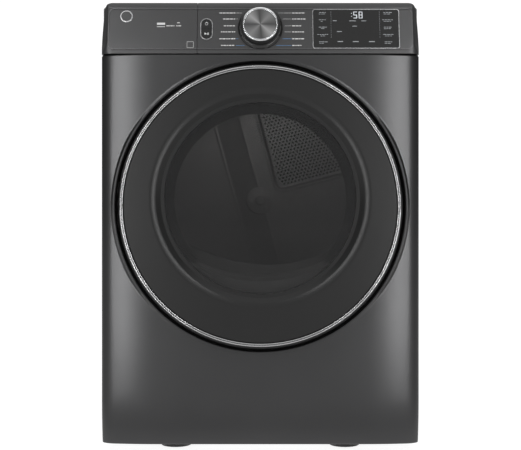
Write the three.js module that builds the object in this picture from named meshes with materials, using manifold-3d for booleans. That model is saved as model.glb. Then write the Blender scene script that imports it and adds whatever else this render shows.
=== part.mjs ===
// A front-loading tumble dryer, vented and electric, built as an assembly of separate pieces.
// Millimetres. +Z is up, the door faces -Y, and the origin is the centre of the footprint on the floor.
import * as THREE from "three";
import { mergeVertices } from "three/addons/utils/BufferGeometryUtils.js";
import Module from "manifold-3d";

const wasm = await Module();
wasm.setup();

// ---- driving dimensions ----
const HALF_WIDTH = 355.5;
const HEIGHT = 1010;
const HALF_DEPTH = 406.5; // from the middle to the door's face, and to the end of the exhaust stub
const FRONT = -364.5; // flat of the front panel
const REAR = 391.5; // outer face of the rear panel
const SHEET = 1.2; // folded steel sheet
const PLASTIC = 3; // moulded wall
const GAP = 0.3; // between touching pieces
const BASE_Z = 19; // underside of the base

const DOOR_Z = 551; // centre of the round door
const DOOR_R = 310;
const DOOR_BACK = -350;
const TRIM_BACK = -396; // where the trim ring and the outer glass sit on the door ring
const TRIM_WIDTH = 9.7;
const GLASS_FACE = -HALF_DEPTH;
const WINDOW_Z = 568.5; // centre of the window, the opening and the drum mouth
const DISH_R = 238; // outer edge of the dished window in the door's glass
const WINDOW_R = 214;
const RECESS_R = 322.5; // wall of the recess that the door closes into
const RECESS_FLOOR = -340;
const LOAD_R = 221; // hole in the recess floor
const MOUTH_R = 196; // where the collar meets the drum
const BULKHEAD_Y = -285; // drum side of the front bulkhead
const HINGE_X = 295;
const HINGE_Y = -382;
const HINGE_PIN_R = 3;
const HINGE_ARM = [36, 54]; // height of each bracket arm above and below the door's centre

const PANEL_TOP = 889.6;
const PANEL_BACK = -327;
const FLAT_HALF = 235; // the front panel is flat to here, and then falls back to its sides
const SIDE_FALL = 7;
const CORNER_X = 341;
const CORNER_DEPTH = 16;
const TUCK_Z = 125; // below this the front panel tucks back
const TUCK_DEPTH = 12;

const CONSOLE_Z = 891.4;
const CONSOLE_BACK = -316;
const CONSOLE_LEAN = THREE.MathUtils.degToRad(13);
const CONSOLE_LIP = 8; // upright strip below the leaning face
const CONSOLE_FACE_TOP = 1000;
const CONSOLE_CORNER = 18;
const CONSOLE_TAPER = 4; // each end leans in by this much towards the top
const CONSOLE_SEAM_X = -140.7;
const KNOB_V = 51.5; // heights on the leaning face are measured along it
const BUTTON_X = -120;
const BUTTON_V = 49;
const CAPSULE = { halfWidth: 14, halfHeight: 25.5 };
const DISPLAY = { x0: 116.5, x1: 311, v0: 2.6, v1: 97.2 };
const BOARD_Y = 20; // the circuit board's face behind the console's face

const DRUM_Z = 580;
const DRUM_R = 327;
const DRUM_WALL = 1.2;
const DRUM_FRONT = -281;
const DRUM_REAR = 318;
const BAFFLE_ANGLES = [10, 130, 250];
const ROLLER_R = 25;
const ROLLER_ANGLE = THREE.MathUtils.degToRad(30); // each side of straight down
const ROLLER_GAP = 0.6;
const AXLE_R = 5;
const REAR_WALL_Y = 344;
const SHAFT_R = 11;

const MOTOR = { x: -30, z: 135 };
const MOTOR_R = 58;
const PULLEY_R = 10;
const IDLER = { x: 70, z: 158 };
const IDLER_R = 18;
const IDLER_PIVOT = { x: 40, z: 62 };
const BELT_Y = [-30, -10];
const BELT_THICK = 1.8;
const BLOWER_R = 87;
const BLOWER_Y = [-286, -212];
const EXHAUST = { x: 215, z: 100 };
const EXHAUST_R = 50.8; // a four inch duct

const FILTER = { halfWidth: 146, y0: -309.5, y1: -294.5, z0: 178, z1: 430 };
const SLOT = { halfWidth: 148.5, y0: -311, y1: -293 };
const LIP_R = 348; // the lint housing's top is a shallow arc across the mouth
const LIP_Z = 417.5; // its lowest point at the drum side
const LIP_TILT = Math.atan2(16, 47);

const FOOT_R = 36;
const FEET = {
  front_left: [-195, -256],
  front_right: [195, -256],
  rear_left: [-290, 330],
  rear_right: [290, 330],
};

const ROUND = 40; // facets of a large ring
const SMALL = 16; // facets of a small round

// ---- materials ----
const paint = (name, color, roughness, metalness = 0) =>
  Object.assign(new THREE.MeshStandardMaterial({ color, roughness, metalness }), { name });
const bodyPaint = paint("body_paint", 0x565656, 0.38, 0.6);
const consolePaint = paint("console_paint", 0x595959, 0.42, 0.5);
const zincSteel = paint("zinc_steel", 0x9a9da0, 0.45, 0.9);
const drumSteel = paint("drum_steel", 0xa8a9aa, 0.35, 0.9);
const blackPlastic = paint("black_plastic", 0x151515, 0.5);
const greyPlastic = paint("grey_plastic", 0x6d6f70, 0.6);
const glossBlack = paint("gloss_black", 0x0c0c0d, 0.12);
const tintedGlass = paint("tinted_glass", 0x1a1b1c, 0.05);
const chrome = paint("chrome", 0xd6d7d8, 0.12, 1);
const knobMetal = paint("knob_metal", 0x77787a, 0.3, 0.9);
const rubber = paint("rubber", 0x1b1b1b, 0.8);
const felt = paint("felt", 0x7b7468, 0.95);
const boardGreen = paint("board_green", 0x1f5a35, 0.5);
const motorPaint = paint("motor_paint", 0x3a3c3f, 0.5, 0.3);
const heatWire = paint("heat_wire", 0x8a6a52, 0.5, 0.8);
const meshWhite = paint("filter_mesh", 0xc9c9c6, 0.7);

// ---- geometry in the dryer's axes ----
const boxGeo = (x0, x1, y0, y1, z0, z1) =>
  new THREE.BoxGeometry(x1 - x0, y1 - y0, z1 - z0).translate((x0 + x1) / 2, (y0 + y1) / 2, (z0 + z1) / 2);

// A closed profile of [radius, y] points turned about an axis along Y through (x, z).
const turnedY = (profile, { x = 0, z = 0, facets = ROUND } = {}) =>
  new THREE.LatheGeometry(
    [...profile, profile[0]].map(([r, y]) => new THREE.Vector2(r, y)),
    facets,
  ).translate(x, 0, z);

// A plain cylinder along Y.
const discGeo = (r, y0, y1, { x = 0, z = 0, facets = ROUND } = {}) =>
  new THREE.CylinderGeometry(r, r, y1 - y0, facets).translate(x, (y0 + y1) / 2, z);

const outline = (points) => new THREE.Shape(points.map(([a, b]) => new THREE.Vector2(a, b)));
const extruded = (shape, depth, curveSegments = 6) =>
  new THREE.ExtrudeGeometry(shape, { depth, bevelEnabled: false, curveSegments });

// A front-view shape in (x, z) given its thickness from y0 to y1.
const plateY = (shape, y0, y1, curveSegments) =>
  extruded(shape, y1 - y0, curveSegments)
    .rotateX(Math.PI / 2)
    .translate(0, y1, 0);

// A plan shape in (x, y) raised from z0 to z1.
const plateZ = (shape, z0, z1) => extruded(shape, z1 - z0).translate(0, 0, z0);

// A side-view shape in (y, z) carried along X from x0 to x1.
const AXES_YZX = new THREE.Matrix4().makeBasis(
  new THREE.Vector3(0, 1, 0),
  new THREE.Vector3(0, 0, 1),
  new THREE.Vector3(1, 0, 0),
);
const plateX = (shape, x0, x1) => extruded(shape, x1 - x0).applyMatrix4(AXES_YZX).translate(x0, 0, 0);

function roundedRect(x0, x1, y0, y1, r) {
  const s = new THREE.Shape();
  s.moveTo(x0 + r, y0).lineTo(x1 - r, y0).absarc(x1 - r, y0 + r, r, -Math.PI / 2, 0);
  s.lineTo(x1, y1 - r).absarc(x1 - r, y1 - r, r, 0, Math.PI / 2);
  s.lineTo(x0 + r, y1).absarc(x0 + r, y1 - r, r, Math.PI / 2, Math.PI);
  s.lineTo(x0, y0 + r).absarc(x0 + r, y0 + r, r, Math.PI, 1.5 * Math.PI);
  return s;
}

// ---- solids ----
function solid(geometry) {
  const loose = geometry.index ? geometry.toNonIndexed() : geometry;
  const bare = new THREE.BufferGeometry().setAttribute("position", loose.getAttribute("position"));
  const merged = mergeVertices(bare, 1e-3);
  const corners = merged.index.array;
  const kept = [];
  for (let i = 0; i < corners.length; i += 3) {
    const [a, b, c] = corners.slice(i, i + 3);
    if (a !== b && b !== c && c !== a) kept.push(a, b, c);
  }
  const made = (triangles) =>
    new wasm.Manifold(
      new wasm.Mesh({
        numProp: 3,
        vertProperties: merged.attributes.position.array,
        triVerts: new Uint32Array(triangles),
      }),
    );
  const first = made(kept);
  return first.volume() < 0 ? made(kept.reverse()) : first;
}

const join = (...geometries) => geometries.map(solid).reduce((a, b) => a.add(b));
const cut = (body, ...geometries) => geometries.map(solid).reduce((a, b) => a.subtract(b), body);

function meshOf(name, body, material) {
  const { numProp, vertProperties, triVerts, numVert } = body.getMesh();
  const points = new Float32Array(numVert * 3);
  for (let i = 0; i < numVert; i++) points.set(vertProperties.subarray(i * numProp, i * numProp + 3), i * 3);
  const geometry = new THREE.BufferGeometry()
    .setAttribute("position", new THREE.BufferAttribute(points, 3))
    .setIndex(new THREE.BufferAttribute(triVerts, 1))
    .toNonIndexed();
  geometry.computeVertexNormals();
  const mesh = new THREE.Mesh(geometry, material);
  mesh.name = name;
  return mesh;
}

const dryer = new THREE.Group();
const put = (name, body, material) => dryer.add(meshOf(name, body, material));

// The console's own axes: its face is y = 0, z runs up the leaning face, and -y points out of it.
const consoleFrame = new THREE.Group();
consoleFrame.position.set(0, FRONT, CONSOLE_Z + CONSOLE_LIP);
consoleFrame.rotation.x = -CONSOLE_LEAN;
consoleFrame.updateMatrix();
dryer.add(consoleFrame);
const onConsole = (geometry) => geometry.applyMatrix4(consoleFrame.matrix);
const putOnConsole = (name, body, material) => consoleFrame.add(meshOf(name, body, material));

// ---- cabinet ----
function basePan() {
  const [x, y0, y1, top] = [350, -322, 386.8, 46];
  const bracket = { x0: IDLER_PIVOT.x - 10, x1: IDLER_PIVOT.x + 10, y0: -52, y1: -48 };
  const holes = Object.values(FEET).map(([fx, fy]) =>
    new THREE.CylinderGeometry(6.2, 6.2, 20, SMALL).rotateX(Math.PI / 2).translate(fx, fy, BASE_Z),
  );
  const tray = cut(
    join(boxGeo(-x, x, y0, y1, BASE_Z, top)),
    boxGeo(-x + SHEET, x - SHEET, y0 + SHEET, y1 - SHEET, BASE_Z + SHEET, top + 1),
    ...holes,
  );
  return tray
    .add(join(boxGeo(bracket.x0, bracket.x1, bracket.y0, bracket.y1, BASE_Z + 1, IDLER_PIVOT.z + 10)))
    .add(join(discGeo(4, bracket.y1 - 1, -36, { ...IDLER_PIVOT, facets: SMALL })))
    .add(join(boxGeo(158, 162, -60, -44, BASE_Z + 1, 62)));
}

function sidePanel(side) {
  const [outer, inner, flange] = [HALF_WIDTH, HALF_WIDTH - SHEET, HALF_WIDTH - 20];
  const [y0, y1] = [PANEL_BACK + GAP, REAR - SHEET - GAP];
  const plan = [
    [outer, y0],
    [outer, y1],
    [flange, y1],
    [flange, y1 - SHEET],
    [inner, y1 - SHEET],
    [inner, y0 + SHEET],
    [flange, y0 + SHEET],
    [flange, y0],
  ];
  return cut(
    join(plateZ(outline(plan.map(([x, y]) => [side * x, y])), BASE_Z, 981.4)),
    boxGeo(-400, 400, -340, CONSOLE_BACK + GAP, CONSOLE_Z - GAP, 990),
  );
}

function rearPanel() {
  const plate = solid(boxGeo(-353, 353, REAR - SHEET, REAR, 21, 981));
  const louvre = (i) => boxGeo(-60 + 20 * i, -50 + 20 * i, REAR - 5, REAR + 5, 860, 930);
  return cut(
    plate,
    discGeo(EXHAUST_R + 2, REAR - 5, REAR + 5, { ...EXHAUST, facets: 32 }),
    discGeo(14, REAR - 5, REAR + 5, { x: -280, z: 90, facets: SMALL }),
    boxGeo(-320, -240, REAR - 5, REAR + 5, 130, 200),
    ...[0, 1, 2, 3, 4, 5].map(louvre),
  );
}

function topCover() {
  const [z0, z1] = [981.7, 1006];
  const side = outline([
    [CONSOLE_BACK + GAP, z0],
    [REAR, z0],
    [REAR, z1 - 6],
    [REAR - 6, z1],
    [CONSOLE_BACK + GAP, z1],
  ]);
  const front = outline([
    [-HALF_WIDTH, z0],
    [HALF_WIDTH, z0],
    [HALF_WIDTH, z1 - 6],
    [HALF_WIDTH - 6, z1],
    [-HALF_WIDTH + 6, z1],
    [-HALF_WIDTH, z1 - 6],
  ]);
  const block = solid(plateX(side, -HALF_WIDTH, HALF_WIDTH)).intersect(solid(plateY(front, -330, 400)));
  return cut(
    block,
    boxGeo(-HALF_WIDTH + SHEET, HALF_WIDTH - SHEET, CONSOLE_BACK + 3, REAR - SHEET, z0 - 1, z1 - SHEET),
  );
}

// The front's outline in plan, pulled in by inset for a hollow; fall is how far back its ends curve.
function frontPlan(inset, back, fall) {
  const fallAt = (x) => fall * ((x - FLAT_HALF) / (CORNER_X - FLAT_HALF)) ** 2;
  const face = (fall ? [FLAT_HALF, 275, 307, CORNER_X] : [CORNER_X]).map((x) => [x, FRONT + fallAt(x)]);
  const corner = [30, 60, 90].map((degrees) => {
    const a = THREE.MathUtils.degToRad(degrees);
    return [
      CORNER_X + (HALF_WIDTH - CORNER_X) * Math.sin(a),
      FRONT + fall + (CORNER_DEPTH - fall) * (1 - Math.cos(a)),
    ];
  });
  const right = [...face, ...corner].map(([x, y]) => [x - inset, y + inset]).concat([[HALF_WIDTH - inset, back]]);
  const left = right.map(([x, y]) => [-x, y]).reverse();
  return outline([...left, ...right]);
}

function panelSide(inset) {
  const tuck = (z) => TUCK_DEPTH * ((TUCK_Z - z) / (TUCK_Z - BASE_Z)) ** 2;
  const face = [BASE_Z + inset, 40, 70, 97, TUCK_Z].map((z) => [FRONT + inset + tuck(z), z]);
  return outline([...face, [FRONT + inset, PANEL_TOP - inset], [-250, PANEL_TOP - inset], [-250, BASE_Z + inset]]);
}

function frontPanel() {
  const filled = (inset, back) =>
    solid(plateZ(frontPlan(inset, back, SIDE_FALL), BASE_Z + inset, PANEL_TOP - inset)).intersect(
      solid(plateX(panelSide(inset), -400, 400)),
    );
  const door = { z: DOOR_Z };
  const crest = FRONT - 1;
  const lip = turnedY(
    [
      [RECESS_R - 1, RECESS_FLOOR + SHEET],
      [RECESS_R - 1, crest + 2.5],
      [RECESS_R + 1.5, crest],
      [RECESS_R + 5.5, crest],
      [RECESS_R + 13.5, crest + 8],
      [RECESS_R + 13.5, crest + 12],
      [RECESS_R + SHEET, crest + 20],
      [RECESS_R + SHEET, RECESS_FLOOR + SHEET],
    ],
    door,
  );
  const pocket = { x0: -321, x1: -286, z0: DOOR_Z - 55, z1: DOOR_Z + 55, back: -318 };
  const shell = filled(0, PANEL_BACK)
    .subtract(filled(SHEET, PANEL_BACK + 40))
    .add(solid(lip))
    .add(solid(discGeo(RECESS_R + 1, RECESS_FLOOR, RECESS_FLOOR + SHEET, door)))
    .add(solid(boxGeo(pocket.x0 - 2, pocket.x1 + 2, RECESS_FLOOR, pocket.back + 2, pocket.z0 - 2, pocket.z1 + 2)));
  return cut(
    shell,
    discGeo(RECESS_R, FRONT - 20, RECESS_FLOOR, door),
    discGeo(LOAD_R, RECESS_FLOOR - 5, RECESS_FLOOR + 5, { z: WINDOW_Z }),
    boxGeo(pocket.x0, pocket.x1, RECESS_FLOOR - 1, pocket.back, pocket.z0, pocket.z1),
    boxGeo(-270, -254, RECESS_FLOOR - 5, RECESS_FLOOR + 5, WINDOW_Z - 13, WINDOW_Z + 13),
  );
}

// ---- console ----
function consoleShell(x0, x1) {
  const lean = Math.tan(CONSOLE_LEAN) * (CONSOLE_FACE_TOP - CONSOLE_Z - CONSOLE_LIP);
  const side = (inset) =>
    outline([
      [FRONT + inset, CONSOLE_Z - 1],
      [FRONT + inset, CONSOLE_Z + CONSOLE_LIP],
      [FRONT + lean + inset, CONSOLE_FACE_TOP],
      [FRONT + lean + 4 + inset, HEIGHT - 3 - inset],
      [FRONT + lean + 11 + inset, HEIGHT - inset],
      [-250, HEIGHT - inset],
      [-250, CONSOLE_Z - 1],
    ]);
  const face = (inset) => {
    const [foot, head] = [HALF_WIDTH - inset, HALF_WIDTH - CONSOLE_TAPER - inset];
    const [high, r] = [HEIGHT - inset, CONSOLE_CORNER - inset];
    const s = new THREE.Shape();
    s.moveTo(-foot, CONSOLE_Z - 1).lineTo(foot, CONSOLE_Z - 1).lineTo(foot, 925).lineTo(head, high - r);
    s.absarc(head - r, high - r, r, 0, Math.PI / 2);
    s.lineTo(-head + r, high).absarc(-head + r, high - r, r, Math.PI / 2, Math.PI);
    s.lineTo(-foot, 925);
    return s;
  };
  const block = (inset, back) =>
    solid(plateZ(frontPlan(inset, back, 0), CONSOLE_Z + inset, HEIGHT - inset))
      .intersect(solid(plateX(side(inset), x0 + inset, x1 - inset)))
      .intersect(solid(plateY(face(inset), -400, -280)));
  return block(0, CONSOLE_BACK).subtract(block(PLASTIC, CONSOLE_BACK + 20));
}

function capsule(inset, y0, y1) {
  const { halfWidth: w, halfHeight: h } = CAPSULE;
  const shape = roundedRect(BUTTON_X - w + inset, BUTTON_X + w - inset, BUTTON_V - h + inset, BUTTON_V + h - inset, w - inset - 0.01);
  return plateY(shape, y0, y1, 5);
}

function consoleFascia() {
  const window = boxGeo(DISPLAY.x0, DISPLAY.x1, -10, 20, DISPLAY.v0, DISPLAY.v1);
  return cut(
    consoleShell(CONSOLE_SEAM_X + 0.5, HALF_WIDTH),
    onConsole(window),
    onConsole(capsule(0, -10, 20)),
    onConsole(discGeo(9, -10, 20, { z: KNOB_V, facets: SMALL })),
  );
}

function displayWindow() {
  const { x0, x1, v0, v1 } = DISPLAY;
  return solid(plateY(roundedRect(x0 + 0.5, x1 - 0.5, v0 + 0.5, v1 - 0.5, 0.01), -0.8, 3, 1));
}

function controlBoard() {
  return join(
    boxGeo(-132, 312, BOARD_Y, BOARD_Y + SHEET, 4, 95),
    boxGeo(DISPLAY.x0 + 5, DISPLAY.x1 - 5, BOARD_Y - 8, BOARD_Y + 1, DISPLAY.v0 + 5, DISPLAY.v1 - 8),
  );
}

const KNOB_AXIS = { z: KNOB_V, facets: 28 };

function knobSkirt() {
  return solid(
    turnedY(
      [
        [9.5, -GAP],
        [50, -GAP],
        [50, -3.5],
        [46, -7.5],
        [9.5, -7.5],
      ],
      KNOB_AXIS,
    ),
  );
}

function selectorKnob() {
  return solid(
    turnedY(
      [
        [0, -24],
        [37.5, -24],
        [40, -22],
        [40, -19],
        [43, -8.5],
        [4, -8.5],
        [4, BOARD_Y - 1],
        [0, BOARD_Y - 1],
      ],
      KNOB_AXIS,
    ),
  );
}

const buttonTrim = () => cut(solid(capsule(0.3, -1.8, 3)), capsule(2, -5, 6));

function button(z0, z1) {
  const cap = solid(capsule(2.4, -2.6, 4)).intersect(solid(boxGeo(-200, 0, -10, 10, z0, z1)));
  return cap.add(solid(boxGeo(BUTTON_X - 3, BUTTON_X + 3, 3, BOARD_Y - 2.5, (z0 + z1) / 2 - 3, (z0 + z1) / 2 + 3)));
}

// ---- door ----
const doorNotch = (side) => {
  const [low, high] = HINGE_ARM.map((h) => DOOR_Z + side * h);
  return boxGeo(
    HINGE_X - 12,
    DOOR_R + 5,
    TRIM_BACK + PLASTIC,
    DOOR_BACK + 10,
    Math.min(low, high) - 3,
    Math.max(low, high) + 3,
  );
};

function doorRing() {
  const ring = turnedY(
    [
      [DOOR_R, DOOR_BACK],
      [DOOR_R, TRIM_BACK],
      [290, TRIM_BACK],
      [290, TRIM_BACK + PLASTIC],
      [DOOR_R - PLASTIC, TRIM_BACK + PLASTIC],
      [DOOR_R - PLASTIC, DOOR_BACK],
    ],
    { z: DOOR_Z },
  );
  return cut(solid(ring), doorNotch(1), doorNotch(-1));
}

function doorTrimRing() {
  const inner = DOOR_R - TRIM_WIDTH;
  return solid(
    turnedY(
      [
        [inner, TRIM_BACK - GAP],
        [DOOR_R, TRIM_BACK - GAP],
        [DOOR_R, TRIM_BACK - 4],
        [DOOR_R - 3, TRIM_BACK - 7.5],
        [inner + 2, TRIM_BACK - 8],
        [inner, TRIM_BACK - 7],
      ],
      { z: DOOR_Z },
    ),
  );
}

function doorOuterGlass() {
  const edge = DOOR_R - TRIM_WIDTH - 0.8;
  const pane = turnedY(
    [
      [0, GLASS_FACE],
      [285, GLASS_FACE],
      [edge, GLASS_FACE + 4],
      [edge, TRIM_BACK - GAP],
      [0, TRIM_BACK - GAP],
    ],
    { z: DOOR_Z },
  );
  const bowl = turnedY(
    [
      [0, TRIM_BACK - 2],
      [DISH_R + 4, TRIM_BACK - 2],
      [WINDOW_R + 4, -381],
      [0, -381],
    ],
    { z: WINDOW_Z },
  );
  const dish = turnedY(
    [
      [0, GLASS_FACE - 1],
      [DISH_R + 4, GLASS_FACE - 1],
      [DISH_R, GLASS_FACE + 2],
      [WINDOW_R, -385],
      [0, -385],
    ],
    { z: WINDOW_Z },
  );
  return cut(join(pane, bowl), dish);
}

function doorInnerPanel() {
  const sheet = join(
    discGeo(DOOR_R - PLASTIC - 0.5, DOOR_BACK - PLASTIC, DOOR_BACK, { z: DOOR_Z }),
    discGeo(WINDOW_R + 1, -378, DOOR_BACK, { z: WINDOW_Z }),
  );
  return cut(sheet, discGeo(WINDOW_R - 2, -400, -340, { z: WINDOW_Z }), doorNotch(1), doorNotch(-1));
}

function doorInnerWindow() {
  const y = DOOR_BACK + GAP;
  return solid(
    turnedY(
      [
        [219, y],
        [219, y + 3],
        [195, y + 3],
        [165, y + 12],
        [100, y + 19],
        [0, y + 22],
        [0, y + 19],
        [100, y + 16],
        [164, y + 9],
        [190, y],
      ],
      { z: WINDOW_Z, facets: 40 },
    ),
  );
}

function doorGasket() {
  const [back, front] = [RECESS_FLOOR - 0.6, DOOR_BACK + GAP];
  const profile = [
    [221.5, front],
    [237, front],
    [237, front + 5],
    [232, back],
    [227, back],
    [221.5, front + 4],
  ];
  return solid(turnedY(profile, { z: WINDOW_Z, facets: 40 }));
}

const doorStrike = () =>
  join(
    boxGeo(-272, -252, DOOR_BACK + GAP, DOOR_BACK + 3, WINDOW_Z - 16, WINDOW_Z + 16),
    boxGeo(-265, -259, DOOR_BACK + 1, -324, WINDOW_Z - 8, WINDOW_Z + 8),
  );

function doorCatch() {
  return cut(
    solid(boxGeo(-280, -244, RECESS_FLOOR + SHEET + GAP, -316, WINDOW_Z - 20, WINDOW_Z + 20)),
    boxGeo(-270, -254, RECESS_FLOOR, -320, WINDOW_Z - 13, WINDOW_Z + 13),
  );
}

const hingeKnuckle = (r, z0, z1) =>
  new THREE.CylinderGeometry(r, r, z1 - z0, 16)
    .rotateX(Math.PI / 2)
    .translate(HINGE_X, HINGE_Y, DOOR_Z + (z0 + z1) / 2);

function hingeBracket() {
  const face = RECESS_FLOOR - GAP;
  const [low, high] = HINGE_ARM;
  const arm = (z0, z1) => [
    hingeKnuckle(6, z0, z1),
    boxGeo(HINGE_X - 6, HINGE_X, HINGE_Y, face - 1, DOOR_Z + z0, DOOR_Z + z1),
  ];
  const body = join(
    boxGeo(HINGE_X - 45, HINGE_X + 11, face - PLASTIC, face, DOOR_Z - 70, DOOR_Z + 70),
    ...arm(low, high),
    ...arm(-high, -low),
  );
  return cut(body, hingeKnuckle(HINGE_PIN_R + 0.3, -80, 80));
}

function doorHingeArm() {
  const half = HINGE_ARM[0] - 1;
  return join(
    hingeKnuckle(6, -half, half),
    hingeKnuckle(HINGE_PIN_R, -HINGE_ARM[1] - 1, HINGE_ARM[1] + 1),
    boxGeo(240, HINGE_X, HINGE_Y - 2, HINGE_Y + 2, DOOR_Z - half, DOOR_Z + half),
    boxGeo(240, 244, HINGE_Y, DOOR_BACK - PLASTIC - GAP, DOOR_Z - half, DOOR_Z + half),
  );
}

// ---- front bulkhead, lint housing and filter ----
const collarRadius = (y) => LOAD_R + ((y - RECESS_FLOOR) * (MOUTH_R - LOAD_R)) / (BULKHEAD_Y - RECESS_FLOOR);

function frontBulkhead() {
  const lipY = RECESS_FLOOR + SHEET + GAP;
  const plate = cut(
    solid(boxGeo(-350, 350, BULKHEAD_Y - PLASTIC, BULKHEAD_Y, 240, 914)),
    discGeo(MOUTH_R + 2, -300, -270, { z: WINDOW_Z }),
  );
  const collar = turnedY(
    [
      [collarRadius(lipY), lipY],
      [collarRadius(lipY) + 4, lipY],
      [MOUTH_R + 4, BULKHEAD_Y],
      [MOUTH_R, BULKHEAD_Y],
    ],
    { z: WINDOW_Z },
  );
  const flange = turnedY(
    [
      [315.5, BULKHEAD_Y - 1],
      [318.5, BULKHEAD_Y - 1],
      [318.5, BULKHEAD_Y + 23],
      [315.5, BULKHEAD_Y + 23],
    ],
    { z: DRUM_Z },
  );
  const chute = boxGeo(-152, 152, SLOT.y0 - 3, SLOT.y1 + 3, 300, 432);
  return cut(plate.add(join(collar, flange)), chute);
}

// Everything below the lint housing's arc is kept; this is what the arc takes away.
const lipCutter = () =>
  new THREE.CylinderGeometry(LIP_R, LIP_R, 400, 56)
    .rotateX(LIP_TILT)
    .translate(0, BULKHEAD_Y, LIP_Z + LIP_R);

function lintDuct() {
  const funnel = (inset) =>
    outline([
      [-150.5 + inset, 372],
      [-150.5 + inset, 172],
      [-100 + inset, 62 + inset],
      [40 - inset, 62 + inset],
      [150.5 - inset, 172],
      [150.5 - inset, 372],
    ]);
  const [front, back] = [-331, BULKHEAD_Y + 0.5];
  const saddle = cut(
    solid(
      turnedY(
        [
          [0, front],
          [collarRadius(front) - 0.6, front],
          [collarRadius(back) - 0.6, back],
          [0, back],
        ],
        { z: WINDOW_Z },
      ),
    ),
    lipCutter(),
    boxGeo(-400, 400, -400, -200, 520, 900),
  );
  return cut(
    saddle.add(solid(plateY(funnel(0), SLOT.y0 - SHEET, SLOT.y1 + SHEET))),
    plateY(funnel(SHEET), SLOT.y0, SLOT.y1),
    boxGeo(-SLOT.halfWidth, SLOT.halfWidth, SLOT.y0, SLOT.y1, 300, 520),
    discGeo(52, SLOT.y0 + 5, SLOT.y1 + 10, { ...MOTOR, facets: 24 }),
  );
}

function lintFilter() {
  const { halfWidth: w, y0, y1, z0, z1 } = FILTER;
  const frame = solid(boxGeo(-w, w, y0, y1, z0, z1)).subtract(solid(lipCutter()));
  const windows = [-1, 1].flatMap((side) => {
    const [a, b] = [side * 6, side * (w - 12)];
    const [x0, x1] = [Math.min(a, b), Math.max(a, b)];
    return [boxGeo(x0, x1, y0 - 1, y0 + 7, z0 + 12, 392), boxGeo(x0, x1, y1 - 7, y1 + 1, z0 + 12, 392)];
  });
  return cut(frame, ...windows);
}

function moistureSensor() {
  const y = BULKHEAD_Y + GAP;
  const bar = (z) => boxGeo(-70, 70, y + 2, y + 6, z, z + 7);
  return join(boxGeo(-78, 78, y, y + 3, 322, 350), bar(326), bar(339));
}

const drumLampLens = () =>
  solid(
    turnedY(
      [
        [0, BULKHEAD_Y + GAP],
        [17, BULKHEAD_Y + GAP],
        [17, BULKHEAD_Y + 4],
        [12, BULKHEAD_Y + 9],
        [0, BULKHEAD_Y + 11],
      ],
      { x: 70, z: 820, facets: SMALL },
    ),
  );

const ringSeal = (r0, r1, y0, y1) =>
  solid(
    turnedY(
      [
        [r0, y0],
        [r1, y0],
        [r1, y1],
        [r0, y1],
      ],
      { z: DRUM_Z },
    ),
  );

// ---- drum ----
function drumShell() {
  const inner = DRUM_R - DRUM_WALL;
  const rib = (y) => [
    [DRUM_R, y - 4],
    [DRUM_R + 2.5, y - 2],
    [DRUM_R + 2.5, y + 2],
    [DRUM_R, y + 4],
  ];
  const belt = (BELT_Y[0] + BELT_Y[1]) / 2;
  return solid(
    turnedY(
      [
        [inner, DRUM_FRONT],
        [DRUM_R, DRUM_FRONT],
        ...rib(belt - 22),
        ...rib(belt + 22),
        [DRUM_R, DRUM_REAR],
        [inner, DRUM_REAR],
      ],
      { z: DRUM_Z },
    ),
  );
}

function drumBack() {
  const front = DRUM_REAR + GAP;
  const disc = discGeo(DRUM_R, front, front + SHEET, { z: DRUM_Z });
  const ridge = (base, crest, height, length) =>
    plateZ(
      outline([
        [-base, front + 1],
        [-crest, front - height],
        [crest, front - height],
        [base, front + 1],
      ]),
      -length,
      length,
    )
      .translate(-32, 0, 0)
      .rotateY(THREE.MathUtils.degToRad(-15.5))
      .translate(0, 0, DRUM_Z);
  const hollow = ridge(37, 22, 22, 282).translate(0, 3, 0);
  return cut(join(disc, ridge(40, 25, 24, 285)), hollow, discGeo(6, 300, 330, { z: DRUM_Z, facets: SMALL }));
}

// A lifting vane lies along the drum's wall; it is drawn at the top and turned to its place.
function drumBaffle(degrees) {
  const section = outline([
    [-34, 321.5],
    [-13, 264],
    [13, 264],
    [34, 321.5],
  ]);
  const sides = outline([
    [-236, 321],
    [-196, 262],
    [262, 262],
    [302, 321],
    [302, 330],
    [-236, 330],
  ]);
  const turn = (geometry) => geometry.rotateY(THREE.MathUtils.degToRad(-degrees)).translate(0, 0, DRUM_Z);
  return solid(turn(plateY(section, -240, 306))).intersect(solid(turn(plateX(sides, -60, 60))));
}

const drumShaft = () =>
  solid(
    turnedY(
      [
        [0, 320.6],
        [42, 320.6],
        [42, 325],
        [18, 327],
        [SHAFT_R, 331],
        [SHAFT_R, 356],
        [0, 356],
      ],
      { z: DRUM_Z, facets: SMALL },
    ),
  );

function rearBulkhead() {
  const inlet = (i) => {
    const a = (i * Math.PI) / 3 + Math.PI / 6;
    return discGeo(34, 330, 360, { x: 106 * Math.sin(a), z: DRUM_Z + 106 * Math.cos(a), facets: 16 });
  };
  const body = join(
    boxGeo(-350, 350, REAR_WALL_Y, REAR_WALL_Y + SHEET, 240, 914),
    discGeo(30, 336, 352, { z: DRUM_Z, facets: SMALL }),
  );
  return cut(
    body,
    discGeo(SHAFT_R + 0.6, 330, 360, { z: DRUM_Z, facets: SMALL }),
    ...[0, 1, 2, 3, 4, 5].map(inlet),
  );
}

function heaterHousing() {
  const front = REAR_WALL_Y + SHEET + GAP;
  const can = turnedY(
    [
      [36, front],
      [36, 384],
      [172, 384],
      [172, front],
      [170.5, front],
      [170.5, 382.5],
      [37.5, 382.5],
      [37.5, front],
    ],
    { z: DRUM_Z, facets: 32 },
  );
  return cut(solid(can), boxGeo(-60, 60, front + 8, 378, DRUM_Z - 180, DRUM_Z - 150));
}

const heaterElement = () =>
  solid(new THREE.TorusGeometry(106, 9, 6, 32).rotateX(Math.PI / 2).translate(0, 365, DRUM_Z));

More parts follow.
